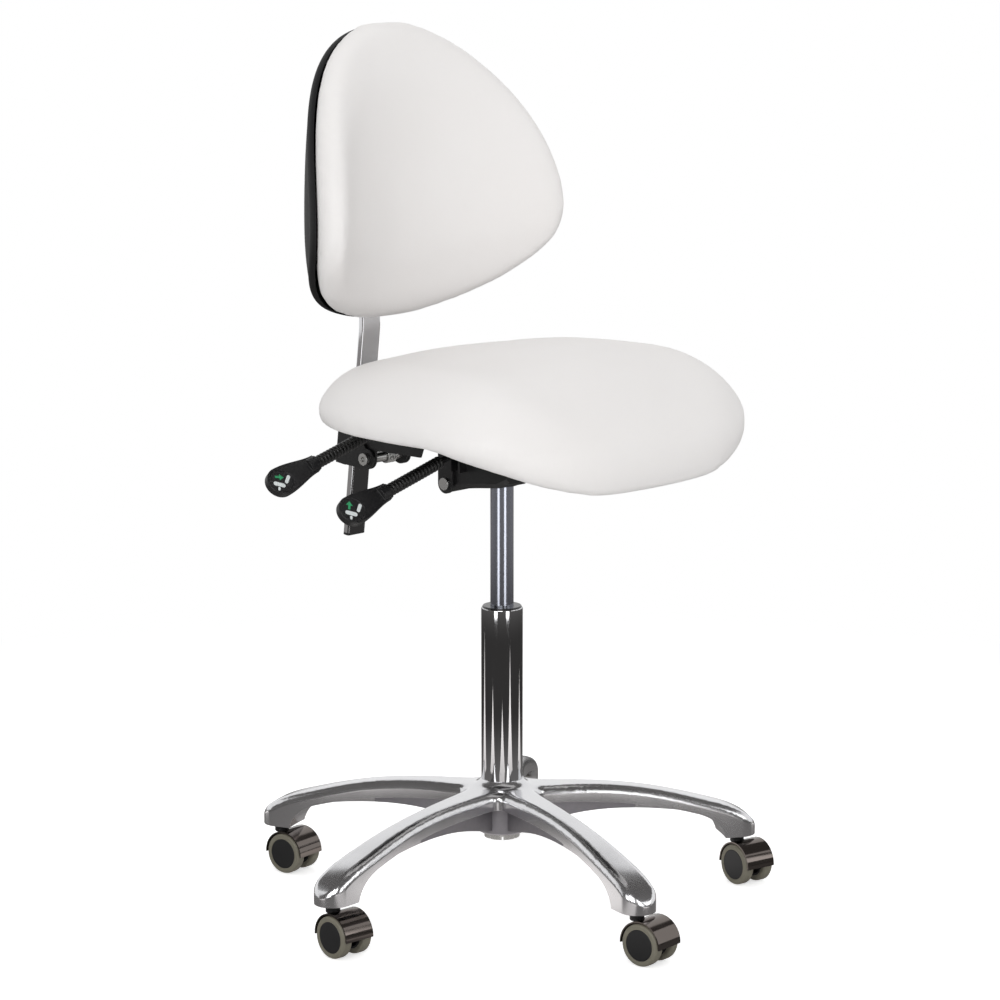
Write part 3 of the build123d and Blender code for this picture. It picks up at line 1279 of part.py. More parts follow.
os.makedirs("parts", exist_ok=True)
for node, shape in build().items():
    group = Compound(children=shape) if isinstance(shape, list) else shape
    export_step(group, f"parts/{node}.step")
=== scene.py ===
"""Salon stool: the look of every piece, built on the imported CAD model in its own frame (metres)."""

import json
import math

import bmesh
import bpy
from mathutils import Matrix, Vector
from mathutils.bvhtree import BVHTree

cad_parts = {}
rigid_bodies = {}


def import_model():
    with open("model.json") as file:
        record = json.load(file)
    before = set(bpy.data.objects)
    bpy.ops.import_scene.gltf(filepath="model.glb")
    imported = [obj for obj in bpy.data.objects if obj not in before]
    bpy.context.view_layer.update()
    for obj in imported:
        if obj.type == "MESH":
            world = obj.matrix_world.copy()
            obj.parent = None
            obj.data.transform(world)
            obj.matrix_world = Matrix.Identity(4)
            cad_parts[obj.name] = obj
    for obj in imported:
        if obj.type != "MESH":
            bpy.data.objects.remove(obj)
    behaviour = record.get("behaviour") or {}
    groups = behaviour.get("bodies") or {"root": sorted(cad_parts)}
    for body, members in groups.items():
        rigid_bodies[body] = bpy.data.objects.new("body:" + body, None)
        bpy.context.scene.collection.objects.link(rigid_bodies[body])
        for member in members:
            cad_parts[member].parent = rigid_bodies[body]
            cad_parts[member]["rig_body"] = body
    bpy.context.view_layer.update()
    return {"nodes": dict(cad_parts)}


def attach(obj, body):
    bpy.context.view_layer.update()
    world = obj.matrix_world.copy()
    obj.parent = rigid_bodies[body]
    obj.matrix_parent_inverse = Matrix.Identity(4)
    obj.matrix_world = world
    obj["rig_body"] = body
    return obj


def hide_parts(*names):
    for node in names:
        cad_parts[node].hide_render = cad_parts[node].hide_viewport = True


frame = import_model()


# Studio: a white seamless floor under soft panels, photographed with a long lens from the
# sitter's front right. Beyond the white sheet the room is dark, which only polished metal shows.
def linear(hex_colour, alpha=1.0):
    """sRGB hex code to the linear colour a shader takes."""
    channels = [int(hex_colour[k : k + 2], 16) / 255 for k in (1, 3, 5)]
    curve = [c / 12.92 if c <= 0.04045 else ((c + 0.055) / 1.055) ** 2.4 for c in channels]
    return (*curve, alpha)


def add(tree, kind, inputs=None, **settings):
    """Adds one node, with its settings, and its inputs set or linked."""
    made = tree.nodes.new(kind)
    for name, value in settings.items():
        setattr(made, name, value)
    for name, value in (inputs or {}).items():
        if isinstance(value, bpy.types.NodeSocket):
            tree.links.new(value, made.inputs[name])
        else:
            made.inputs[name].default_value = value
    return made


def new_material(name):
    """An empty node material and its output node."""
    material = bpy.data.materials.new(name)
    material.use_nodes = True
    material.node_tree.nodes.clear()
    return material, add(material.node_tree, "ShaderNodeOutputMaterial")


def mesh_piece(name, points, faces):
    """A new object from points and faces in the object's frame."""
    mesh = bpy.data.meshes.new(name)
    mesh.from_pydata(points, [], faces)
    mesh.update()
    piece = bpy.data.objects.new(name, mesh)
    bpy.context.scene.collection.objects.link(piece)
    return piece


def standing_card(name, centre, half_width, bottom, top, facing):
    """An upright card that turns its face towards a heading, in degrees."""
    heading = math.radians(facing)
    across = Vector((-math.sin(heading), math.cos(heading), 0.0)) * half_width
    middle = Vector((centre[0], centre[1], 0.0))
    points = [
        middle - across + Vector((0, 0, bottom)),
        middle + across + Vector((0, 0, bottom)),
        middle + across + Vector((0, 0, top)),
        middle - across + Vector((0, 0, top)),
    ]
    return mesh_piece(name, points, [(0, 1, 2, 3)])


def only_in_reflections(piece):
    """Hides a studio card from everything but mirror reflections."""
    piece.visible_camera = False
    piece.visible_diffuse = False
    piece.visible_shadow = False
    piece.visible_transmission = False
    piece.visible_volume_scatter = False


FLOOR_HALF = 9.0
FLOOR_DROP = 0.0004  # keeps the paper clear of the wheels
FLOOR_LIFT = 0.6  # glow that brings the lit paper up to white
SHADOW_END = 0.8  # the shadow starts to fade this far out
SHADOW_GONE = 1.6
CARD_HEIGHT = 0.002  # reflection cards lie just above the paper
WEDGE_HEIGHT = 0.004
UNDER_RADIUS = 0.48
SHEET_RADIUS = 1.0
ROOM_RADIUS = 5.0
WALL_HEIGHT = 4.0
WALL_TONE = 0.14
RING_STEPS = 64
STRIP_DISTANCE = 1.2
STRIP_HALF_WIDTH = 0.2
STRIP_LOW, STRIP_HIGH = 0.09, 0.75
STRIP_STRENGTH = 2.6
STRIP_OFFSETS = (-34.0, 31.0)  # bearings from the camera
SKY_AS_LIGHT = 0.48
ROOF_BEHIND = 3.4  # the dark roof ends this far behind the stool
DARK_SWEEP = 85.0  # the room is dark this far either side of the camera, and white behind the stool
CAMERA_PLACE = (-2.9949, -2.7928, 1.25)
CAMERA_PITCH = 10.54
CAMERA_HEADING = -47.0
CAMERA_LENS = 125.7
CAMERA_BEARING = 223.0


def seen_directly(tree):
    """1 for rays from the eye, from mirrors and through glass, otherwise 0."""
    path = add(tree, "ShaderNodeLightPath")
    eye_or_mirror = add(
        tree,
        "ShaderNodeMath",
        {0: path.outputs["Is Camera Ray"], 1: path.outputs["Is Glossy Ray"]},
        operation="MAXIMUM",
    )
    seen = add(
        tree,
        "ShaderNodeMath",
        {0: eye_or_mirror.outputs[0], 1: path.outputs["Is Transmission Ray"]},
        operation="MAXIMUM",
    )
    return seen.outputs[0]


def outwards(tree, near, far, first, second):
    """A value that changes smoothly with the distance from the column's axis."""
    where = add(tree, "ShaderNodeTexCoord")
    reach = add(tree, "ShaderNodeVectorMath", {0: where.outputs["Object"]}, operation="LENGTH")
    spread = add(
        tree,
        "ShaderNodeMapRange",
        {
            "Value": reach.outputs["Value"],
            "From Min": near,
            "From Max": far,
            "To Min": first,
            "To Max": second,
        },
        interpolation_type="SMOOTHSTEP",
    )
    return spread.outputs[0]


# Floor paper: matt white that keeps a faint shadow near the stool and burns out to pure white
floor_paint, floor_output = new_material("floor_paper")
tree = floor_paint.node_tree
paper = add(tree, "ShaderNodeBsdfDiffuse", {"Color": linear("#F4F4F4")})
lift = add(tree, "ShaderNodeEmission", {"Color": (1, 1, 1, 1), "Strength": FLOOR_LIFT})
lifted = add(tree, "ShaderNodeAddShader", {0: paper.outputs[0], 1: lift.outputs[0]})
white = add(tree, "ShaderNodeEmission", {"Color": (1, 1, 1, 1), "Strength": 1.0})
fade = outwards(tree, SHADOW_END, SHADOW_GONE, 0.0, 1.0)
shown = add(tree, "ShaderNodeMixShader", {0: fade, 1: lifted.outputs[0], 2: white.outputs[0]})
both = add(
    tree, "ShaderNodeMixShader", {0: seen_directly(tree), 1: paper.outputs[0], 2: shown.outputs[0]}
)
tree.links.new(both.outputs[0], floor_output.inputs["Surface"])
corners = ((-1, -1), (1, -1), (1, 1), (-1, 1))
floor_points = [(x * FLOOR_HALF, y * FLOOR_HALF, -FLOOR_DROP) for x, y in corners]
floor = mesh_piece("studio_floor", floor_points, [(0, 1, 2, 3)])
floor.data.materials.append(floor_paint)

# Dark floor, walls and roof that only polished metal shows: the bands that make it look polished
def room_tone(name, near, far, first, second):
    """A faint glow that changes with the distance from the column's axis."""
    paint, output = new_material(name)
    tree = paint.node_tree
    tone = outwards(tree, near, far, first, second)
    glow = add(tree, "ShaderNodeEmission", {"Color": linear("#F4F0EE"), "Strength": tone})
    tree.links.new(glow.outputs[0], output.inputs["Surface"])
    return paint


def ring_card(name, inner, outer, paint, half_sweep=180.0):
    """A band between two circles, each given as radius and height, either side of the camera."""
    points = []
    faces = []
    for k in range(RING_STEPS + 1):
        turn = math.radians(CAMERA_BEARING + half_sweep * (2 * k / RING_STEPS - 1))
        for radius, height in (inner, outer):
            points.append((radius * math.cos(turn), radius * math.sin(turn), height))
        if k < RING_STEPS:
            faces.append((2 * k, 2 * k + 1, 2 * k + 3, 2 * k + 2))
    card = mesh_piece(name, points, faces)
    card.data.materials.append(paint)
    only_in_reflections(card)


# Tones from near to far: bright under the hub, dark round the arms, grey far out
under_floor = room_tone("floor_under_stool", 0.14, 0.32, 1.3, 0.2)
near_floor = room_tone("floor_near_stool", 0.5, 0.95, 0.2, 0.05)
far_floor = room_tone("far_floor", 1.4, 2.2, 0.05, 0.34)
walls = room_tone("dark_walls", ROOM_RADIUS, ROOM_RADIUS + 1, WALL_TONE, WALL_TONE)
ring_card("studio_under_floor", (0.001, CARD_HEIGHT), (UNDER_RADIUS, CARD_HEIGHT), under_floor)
ring_card("studio_near_floor", (UNDER_RADIUS, CARD_HEIGHT), (SHEET_RADIUS, CARD_HEIGHT), near_floor)
ring_card("studio_far_floor", (SHEET_RADIUS, CARD_HEIGHT), (ROOM_RADIUS, CARD_HEIGHT), far_floor)
ring_card("studio_walls", (ROOM_RADIUS, CARD_HEIGHT), (ROOM_RADIUS, WALL_HEIGHT), walls, DARK_SWEEP)
ahead = Vector((math.cos(math.radians(CAMERA_BEARING)), math.sin(math.radians(CAMERA_BEARING)), 0))
aside = Vector((-ahead.y, ahead.x, 0)) * ROOM_RADIUS
lifted_by = Vector((0, 0, WALL_HEIGHT))
near_edge = ahead * ROOM_RADIUS + lifted_by
far_edge = -ahead * ROOF_BEHIND + lifted_by
roof = mesh_piece(
    "studio_roof", [near_edge - aside, near_edge + aside, far_edge + aside, far_edge - aside], [(0, 1, 2, 3)]
)
roof.data.materials.append(walls)
only_in_reflections(roof)

# Two upright strip lights that draw the bright lines on the cylinder
strip_paint, strip_output = new_material("strip_light")
tree = strip_paint.node_tree
strip_glow = add(tree, "ShaderNodeEmission", {"Color": (1, 1, 1, 1), "Strength": STRIP_STRENGTH})
tree.links.new(strip_glow.outputs[0], strip_output.inputs["Surface"])
for number, offset in enumerate(STRIP_OFFSETS):
    bearing = math.radians(CAMERA_BEARING + offset)
    place = (STRIP_DISTANCE * math.cos(bearing), STRIP_DISTANCE * math.sin(bearing))
    strip = standing_card(
        f"studio_strip_{number}", place, STRIP_HALF_WIDTH, STRIP_LOW, STRIP_HIGH, math.degrees(bearing)
    )
    strip.data.materials.append(strip_paint)
    only_in_reflections(strip)

# Bright wedges of floor that draw the pointed streaks on the tube: bearing from the camera, reach
wedge_paint = room_tone("floor_streak", 0.4, 0.9, 0.7, 1.5)
WEDGE_START = 0.6
WEDGE_SPREAD = math.radians(14.0)
WEDGES = ((2.0, 0.98), (45.0, 1.4), (-52.0, 1.1), (-112.0, 1.5), (112.0, 1.2), (0.0, 0.1))
for number, (offset, reach) in enumerate(WEDGES):
    bearing = math.radians(CAMERA_BEARING + offset)
    points = [(reach * math.cos(bearing), reach * math.sin(bearing), WEDGE_HEIGHT)]
    for turn in (bearing - WEDGE_SPREAD, bearing + WEDGE_SPREAD):
        points.append((WEDGE_START * math.cos(turn), WEDGE_START * math.sin(turn), WEDGE_HEIGHT))
    wedge = mesh_piece(f"studio_wedge_{number}", points, [(0, 1, 2)])
    wedge.data.materials.append(wedge_paint)
    only_in_reflections(wedge)

# World: white to the eye, to mirrors and through glass; softer as a light
world = bpy.data.worlds.new("studio")
world.use_nodes = True
tree = world.node_tree
tree.nodes.clear()
strength = add(
    tree,
    "ShaderNodeMapRange",
    {
        "Value": seen_directly(tree),
        "From Min": 0.0,
        "From Max": 1.0,
        "To Min": SKY_AS_LIGHT,
        "To Max": 1.0,
    },
)
sky = add(tree, "ShaderNodeBackground", {"Color": (1, 1, 1, 1), "Strength": strength.outputs[0]})
world_output = add(tree, "ShaderNodeOutputWorld", {"Surface": sky.outputs[0]})
bpy.context.scene.world = world


def panel(name, place, target, size, power):
    """A soft rectangular lamp aimed at a point."""
    lamp = bpy.data.lights.new(name, "AREA")
    lamp.shape = "RECTANGLE"
    lamp.size, lamp.size_y = size
    lamp.energy = power
    holder = bpy.data.objects.new(name, lamp)
    holder.location = place
    holder.rotation_euler = (Vector(target) - Vector(place)).to_track_quat("-Z", "Y").to_euler()
    bpy.context.scene.collection.objects.link(holder)
    return holder


# Lamps: place, aim, size in metres, watts
panel("key_panel", (-2.7, -1.7, 1.9), (0, 0, 0.75), (1.6, 1.6), 41)
panel("fill_panel", (1.2, -3.2, 1.5), (0, 0, 0.5), (1.6, 1.6), 15)
top_panel = panel("top_panel", (0.2, 0.4, 3.2), (0, 0, 0.4), (2.4, 2.4), 20)
top_panel.visible_glossy = False

camera = bpy.data.cameras.new("photo_camera")
camera.sensor_fit = "HORIZONTAL"
camera.sensor_width = 36.0
camera.lens = CAMERA_LENS
camera.shift_x = -0.002
camera.clip_start, camera.clip_end = 0.1, 60.0
camera_holder = bpy.data.objects.new("photo_camera", camera)
camera_holder.location = CAMERA_PLACE
camera_holder.rotation_euler = (math.radians(90 - CAMERA_PITCH), 0, math.radians(CAMERA_HEADING))
bpy.context.scene.collection.objects.link(camera_holder)
bpy.context.scene.camera = camera_holder
bpy.context.scene.view_settings.view_transform = "Standard"


# Casters: a plated half-round hood on a black stem, with two wheels of dark moulded plastic,
# each with a soft grey-green polyurethane tyre.
def surface(material, output, colour, metallic, roughness, bump=None, **extra):
    """A Principled surface on a material's output, from values or sockets."""
    tree = material.node_tree
    inputs = {"Base Color": colour, "Metallic": metallic, "Roughness": roughness, **extra}
    if bump is not None:
        inputs["Normal"] = bump
    shader = add(tree, "ShaderNodeBsdfPrincipled", inputs)
    tree.links.new(shader.outputs[0], output.inputs["Surface"])
    return shader


def mottled(tree, size_mm, first, second, detail=3.0, stretch=(1, 1, 1)):
    """A soft noise between two colours or two values; its patches are about size_mm wide."""
    where = add(tree, "ShaderNodeTexCoord")
    scaled = add(tree, "ShaderNodeMapping", {"Vector": where.outputs["Object"], "Scale": stretch})
    noise = add(
        tree, "ShaderNodeTexNoise", {"Vector": scaled.outputs[0], "Scale": 500.0 / size_mm, "Detail": detail}
    )
    if isinstance(first, tuple):
        ramp = add(tree, "ShaderNodeMix", {"Factor": noise.outputs["Fac"]}, data_type="RGBA")
        ramp.inputs[6].default_value = first
        ramp.inputs[7].default_value = second
        return ramp.outputs[2]
    spread = add(
        tree,
        "ShaderNodeMapRange",
        {"Value": noise.outputs["Fac"], "From Min": 0.3, "From Max": 0.7, "To Min": first, "To Max": second},
    )
    return spread.outputs[0]


def grain(tree, size_mm, depth_mm, detail=2.0, stretch=(1, 1, 1)):
    """A fine noise relief as a normal."""
    height = mottled(tree, size_mm, 0.0, 1.0, detail, stretch)
    relief = add(tree, "ShaderNodeBump", {"Height": height, "Distance": depth_mm / 1000, "Strength": 1.0})
    return relief.outputs[0]


def metal(name, colour, dull, bright, size_mm, stretch=(1, 1, 1), depth_mm=0.0):
    """A metal with a slightly uneven polish."""
    material, output = new_material(name)
    tree = material.node_tree
    roughness = mottled(tree, size_mm, bright, dull, 3.0, stretch)
    bump = grain(tree, size_mm, depth_mm, 2.0, stretch) if depth_mm else None
    surface(material, output, linear(colour), 1.0, roughness, bump)
    return material


def moulding(name, colour, paler, roughness, size_mm, depth_mm, shine=0.5):
    """A plastic, rubber or paint with a faintly uneven colour and a fine relief.

    The relief is drawn a few times coarser than the real grain, so that it shows.
    """
    material, output = new_material(name)
    tree = material.node_tree
    tint = mottled(tree, 14 * size_mm, linear(colour), linear(paler))
    relief = grain(tree, size_mm, depth_mm)
    surface(material, output, tint, 0.0, roughness, relief, **{"Specular IOR Level": shine})
    return material


def dressed(node_name, materials, sharp=28.0, bevel_mm=0.35, pick=None):
    """A smooth-shaded copy of a CAD node that stands for it, with slightly broken edges."""
    source = frame["nodes"][node_name]
    mesh = source.data.copy()
    mesh.name = f"{node_name}_look"
    mesh.materials.clear()
    for material in materials:
        mesh.materials.append(material)
    shape = bmesh.new()
    shape.from_mesh(mesh)
    bmesh.ops.remove_doubles(shape, verts=shape.verts, dist=MERGE)
    bmesh.ops.dissolve_limit(shape, angle_limit=FLAT_ANGLE, verts=shape.verts, edges=shape.edges)
    bmesh.ops.recalc_face_normals(shape, faces=shape.faces)
    for face in shape.faces:
        face.smooth = True
        face.material_index = pick(face) if pick else 0
    for edge in shape.edges:
        edge.smooth = edge.is_manifold and edge.calc_face_angle(math.pi) < math.radians(sharp)
    shape.to_mesh(mesh)
    shape.free()
    piece = bpy.data.objects.new(f"{node_name}_look", mesh)
    bpy.context.scene.collection.objects.link(piece)
    if bevel_mm:
        soften = piece.modifiers.new("broken_edges", "BEVEL")
        soften.width = bevel_mm / 1000
        soften.segments = 2
        soften.limit_method = "ANGLE"
        soften.angle_limit = math.radians(sharp + 7)
    even = piece.modifiers.new("even_shading", "WEIGHTED_NORMAL")
    even.keep_sharp = True
    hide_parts(node_name)
    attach(piece, source["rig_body"])
    return piece


MERGE = 3e-6  # corners closer than this are one
FLAT_ANGLE = math.radians(0.4)  # faces this close to one plane become one
CASTERS = 5
# Hood: dark plate that mirrors the room, with a faintly uneven polish
dark_nickel = metal("dark_nickel_plate", "#6E6763", 0.13, 0.05, 30)
# Wheel: near-black moulded plastic with a soft sheen
wheel_plastic = moulding("dark_wheel_plastic", "#161617", "#1E1E1F", 0.5, 0.8, 0.02)
# Tyre: matt grey-green, slightly mottled like cast polyurethane
tread = moulding("grey_polyurethane", "#6E6A5C", "#7C786A", 0.55, 1.0, 0.02)
# Collar: black plastic that shows as a short dark neck
collar_plastic = moulding("black_collar_plastic", "#141415", "#1E1E20", 0.5, 0.8, 0.02)
for number in range(1, CASTERS + 1):
    dressed(f"caster_{number}_hood", [dark_nickel])
    for side in "ab":
        dressed(f"caster_{number}_tyre_{side}", [tread])
        dressed(f"caster_{number}_core_{side}", [wheel_plastic])
dressed("caster_stems", [collar_plastic])


# Star base: one die casting of aluminium, its rounded caps and shoes polished by hand and its
# side walls and hub left as cast. The column's tube is wedged into its tapered hub.
# Caps: silver mirror, softened by the buffing marks so that reflections have no hard edge
polished = metal("polished_aluminium", "#DADADC", 0.25, 0.16, 45)
# Walls: grey skin of the die, dull, with a sandy relief drawn coarser than real, 6 mm wide
as_cast = metal("as_cast_aluminium", "#8C8A8E", 0.6, 0.42, 6, depth_mm=0.06)
CAP_LIP = ((0.0, 0.1221), (0.1192, 0.1132), (0.2444, 0.09), (0.278, 0.058))  # radius, height


def below_cap(face):
    """1 for a face of the as-cast walls under the polished caps, otherwise 0."""
    centre = face.calc_center_median()
    radius = math.hypot(centre.x, centre.y)
    for (r0, z0), (r1, z1) in zip(CAP_LIP, CAP_LIP[1:]):
        if r0 <= radius < r1:
            lip = z0 + (z1 - z0) * (radius - r0) / (r1 - r0)
            return int(centre.z < lip - 0.002)
    return 0


dressed("base_star", [polished, as_cast], bevel_mm=0.8, pick=below_cap)


# Column: a steel tube, drawn, tapered to wedge into the hub and chromed. A pressed foot closes it
# below, and a moulded guide in its mouth carries the gas spring.
# Chrome: a clear mirror, nearly black where the room is dark
chrome = metal("bright_chrome", "#D2D2D4", 0.06, 0.02, 60)
# Zinc: pale grey plate with a blurred shine
zinc = metal("zinc_plate", "#C8C8C6", 0.34, 0.24, 8)
dressed("column_tube", [chrome])
dressed("column_foot", [zinc])
# Acetal: black and slightly waxy
dark_acetal = moulding("dark_acetal", "#1C1C1E", "#252527", 0.25, 1.0, 0.01)
dressed("guide_bush", [dark_acetal])


# Gas spring: a drawn steel cylinder that rides on its rod inside the tube; the rod stands on a
# bearing at the foot, held by a clip, with a rubber stop below the cylinder.
# Drawn steel: bluish grey, with fine lines along the cylinder from the drawing
drawn_steel = metal("drawn_steel", "#A6A9B4", 0.2, 0.12, 4, stretch=(1, 1, 0.03))
dressed("gas_cylinder", [drawn_steel])
for name in ("thrust_bearing", "piston_rod", "rod_clip", "valve_pin"):
    dressed(name, [zinc], bevel_mm=0)
# Rubber: black, with a dull sheen that shows the ribs
rubber = moulding("black_rubber", "#161616", "#1F1F1E", 0.4, 0.8, 0.03)
dressed("bump_stop", [rubber], bevel_mm=0)


# Mechanism: steel pressings under the seat, welded and powder-coated black. The seat plate's ears
# tilt on a bright pin through the chassis, and the back's bracket turns on a bolt with a spring.
# Powder coat: black with a fine orange-peel relief
powder_coat = moulding("black_powder_coat", "#121213", "#1C1C1D", 0.42, 0.7, 0.03)
for name in ("chassis", "tilt_ears", "seat_plate", "back_bracket"):
    dressed(name, [powder_coat])
for name in ("tilt_pivot_pin", "seat_bolts", "back_pivot_bolt", "back_spring", "back_bolts"):
    dressed(name, [zinc], bevel_mm=0.2)


# Levers: bent steel rods in ribbed rubber sleeves, each ending in a moulded paddle whose sunk
# face carries a printed sign: a plain stool with an arrow.
LEVERS = {"lift_lever": (0.04, 0.546), "back_lever": (0.16, 0.565)}  # pivot's Y and Z
LEVER_PIVOT_X = -0.034
LEVER_SLOPE = 15.0
SLEEVE_START = 0.032
SLEEVE_LENGTH = 0.092
SLEEVE_RADIUS = 0.0079
SLEEVE_RIBS = 17
RIB_DEPTH = 0.0015
RIB_STEPS = 8
SLEEVE_SIDES = 28
PADDLE_ROLL = 48.0
SIGN_CENTRE = 0.060  # from the paddle's neck
SIGN_FLOOR = 0.0033  # above the paddle's middle plane
SIGN_TURN = 137.0
SIGN_SCALE = 1.18
INK = 0.0003


def lever_axes(y, z):
    """A lever's own axes: X down the rod from its pivot, Y forwards, Z up."""
    slope = math.radians(LEVER_SLOPE)
    along = Vector((-math.cos(slope), 0, -math.sin(slope)))
    upward = Vector((-math.sin(slope), 0, math.cos(slope)))
    axes = Matrix((along, Vector((0, -1, 0)), upward)).transposed().to_4x4()
    axes.translation = (LEVER_PIVOT_X, y, z)
    return axes


def sleeve_rule():
    """Node tree for a sleeve: a tube whose radius swells at every rib."""
    tree = bpy.data.node_groups.new("ribbed_sleeve", "GeometryNodeTree")
    sockets = {
        "Start": "NodeSocketVector",
        "End": "NodeSocketVector",
        "Ribs": "NodeSocketInt",
        "Valley": "NodeSocketFloat",
        "Rib Depth": "NodeSocketFloat",
        "Material": "NodeSocketMaterial",
    }
    for name, kind in sockets.items():
        tree.interface.new_socket(name=name, in_out="INPUT", socket_type=kind)
    tree.interface.new_socket(name="Geometry", in_out="OUTPUT", socket_type="NodeSocketGeometry")
    given = add(tree, "NodeGroupInput").outputs
    line = add(tree, "GeometryNodeCurvePrimitiveLine", {"Start": given["Start"], "End": given["End"]})
    steps = add(
        tree, "ShaderNodeMath", {0: given["Ribs"], 1: float(RIB_STEPS), 2: 1.0}, operation="MULTIPLY_ADD"
    )
    path = add(tree, "GeometryNodeResampleCurve", {"Curve": line.outputs[0], "Count": steps.outputs[0]})
    along = add(tree, "GeometryNodeSplineParameter")
    half_turns = add(tree, "ShaderNodeMath", {0: given["Ribs"], 1: math.pi}, operation="MULTIPLY")
    angle = add(
        tree, "ShaderNodeMath", {0: along.outputs["Factor"], 1: half_turns.outputs[0]}, operation="MULTIPLY"
    )
    wave = add(tree, "ShaderNodeMath", {0: angle.outputs[0]}, operation="SINE")
    swell = add(tree, "ShaderNodeMath", {0: wave.outputs[0]}, operation="ABSOLUTE")
    radius = add(
        tree,
        "ShaderNodeMath",
        {0: swell.outputs[0], 1: given["Rib Depth"], 2: given["Valley"]},
        operation="MULTIPLY_ADD",
    )
    ring = add(tree, "GeometryNodeCurvePrimitiveCircle", {"Resolution": SLEEVE_SIDES, "Radius": 1.0})
    tube = add(
        tree,
        "GeometryNodeCurveToMesh",
        {
            "Curve": path.outputs[0],
            "Profile Curve": ring.outputs[0],
            "Scale": radius.outputs[0],
            "Fill Caps": True,
        },
    )
    whole_tube = add(tree, "GeometryNodeRealizeInstances", {"Geometry": tube.outputs[0]})
    painted = add(
        tree,
        "GeometryNodeSetMaterial",
        {"Geometry": whole_tube.outputs[0], "Material": given["Material"]},
    )
    add(tree, "NodeGroupOutput", {"Geometry": painted.outputs[0]})
    return tree


def ribbed_sleeve(name, start, end):
    """A sleeve between two points, made by the node tree and turned into a plain mesh."""
    maker = mesh_piece(f"{name}_maker", [], [])
    rule = maker.modifiers.new("ribs", "NODES")
    rule.node_group = sleeve_tree
    sizes = {
        "Start": start,
        "End": end,
        "Ribs": SLEEVE_RIBS,
        "Valley": SLEEVE_RADIUS - RIB_DEPTH,
        "Rib Depth": RIB_DEPTH,
        "Material": rubber,
    }
    for item in sleeve_tree.interface.items_tree:
        if item.in_out == "INPUT":
            rule[item.identifier] = sizes[item.name]
    graph = bpy.context.evaluated_depsgraph_get()
    mesh = bpy.data.meshes.new_from_object(maker.evaluated_get(graph))
    bpy.data.objects.remove(maker)
    mesh.name = name
    shape = bmesh.new()
    shape.from_mesh(mesh)
    bmesh.ops.recalc_face_normals(shape, faces=shape.faces)
    for face in shape.faces:
        face.smooth = len(face.verts) == 4
    shape.to_mesh(mesh)
    shape.free()
    piece = bpy.data.objects.new(name, mesh)
    bpy.context.scene.collection.objects.link(piece)
    return piece


def printed(name, outlines, axes, ink):
    """Flat printed shapes on a paddle's face, each from an outline in millimetres."""
    shape = bmesh.new()
    for outline in outlines:
        low = [shape.verts.new(axes @ (Vector((x, y, 0)) * SIGN_SCALE / 1000)) for x, y in outline]
        base = shape.faces.new(low)
        grown = bmesh.ops.extrude_face_region(shape, geom=[base])["geom"]
        raised = [part for part in grown if isinstance(part, bmesh.types.BMVert)]
        bmesh.ops.translate(shape, verts=raised, vec=axes.to_3x3() @ Vector((0, 0, INK)))
    bmesh.ops.recalc_face_normals(shape, faces=shape.faces)
    mesh = bpy.data.meshes.new(name)
    shape.to_mesh(mesh)
    shape.free()
    mesh.materials.append(ink)
    piece = bpy.data.objects.new(name, mesh)
    bpy.context.scene.collection.objects.link(piece)
    return piece


def turned_outline(outline, degrees, centre):
    """An outline turned about its own origin and set at a place."""
    turn = math.radians(degrees)
    c, s = math.cos(turn), math.sin(turn)
    return [(centre[0] + c * x - s * y, centre[1] + s * x + c * y) for x, y in outline]


# Paddles, plug and knob: black plastic with the fine grain of its mould
black_plastic = moulding("black_plastic", "#161617", "#202022", 0.45, 0.9, 0.02)
# Inks: flat white and green, just proud of the paddle's face
white_ink = moulding("white_ink", "#DDE4E4", "#E6ECEC", 0.5, 0.6, 0.01)
green_ink = moulding("green_ink", "#2A9A62", "#35A76E", 0.5, 0.6, 0.01)


def pad_outline(width, height, degrees, centre):
    """A pad with round ends, turned and set at a place."""
    radius = min(width, height) / 2
    corners = []
    for k, (x, y) in enumerate(((1, 1), (-1, 1), (-1, -1), (1, -1))):
        for step in range(5):
            angle = math.radians(90 * k + 22.5 * step)
            across = x * (width / 2 - radius) + radius * math.cos(angle)
            corners.append((across, y * (height / 2 - radius) + radius * math.sin(angle)))
    return turned_outline(corners, degrees, centre)


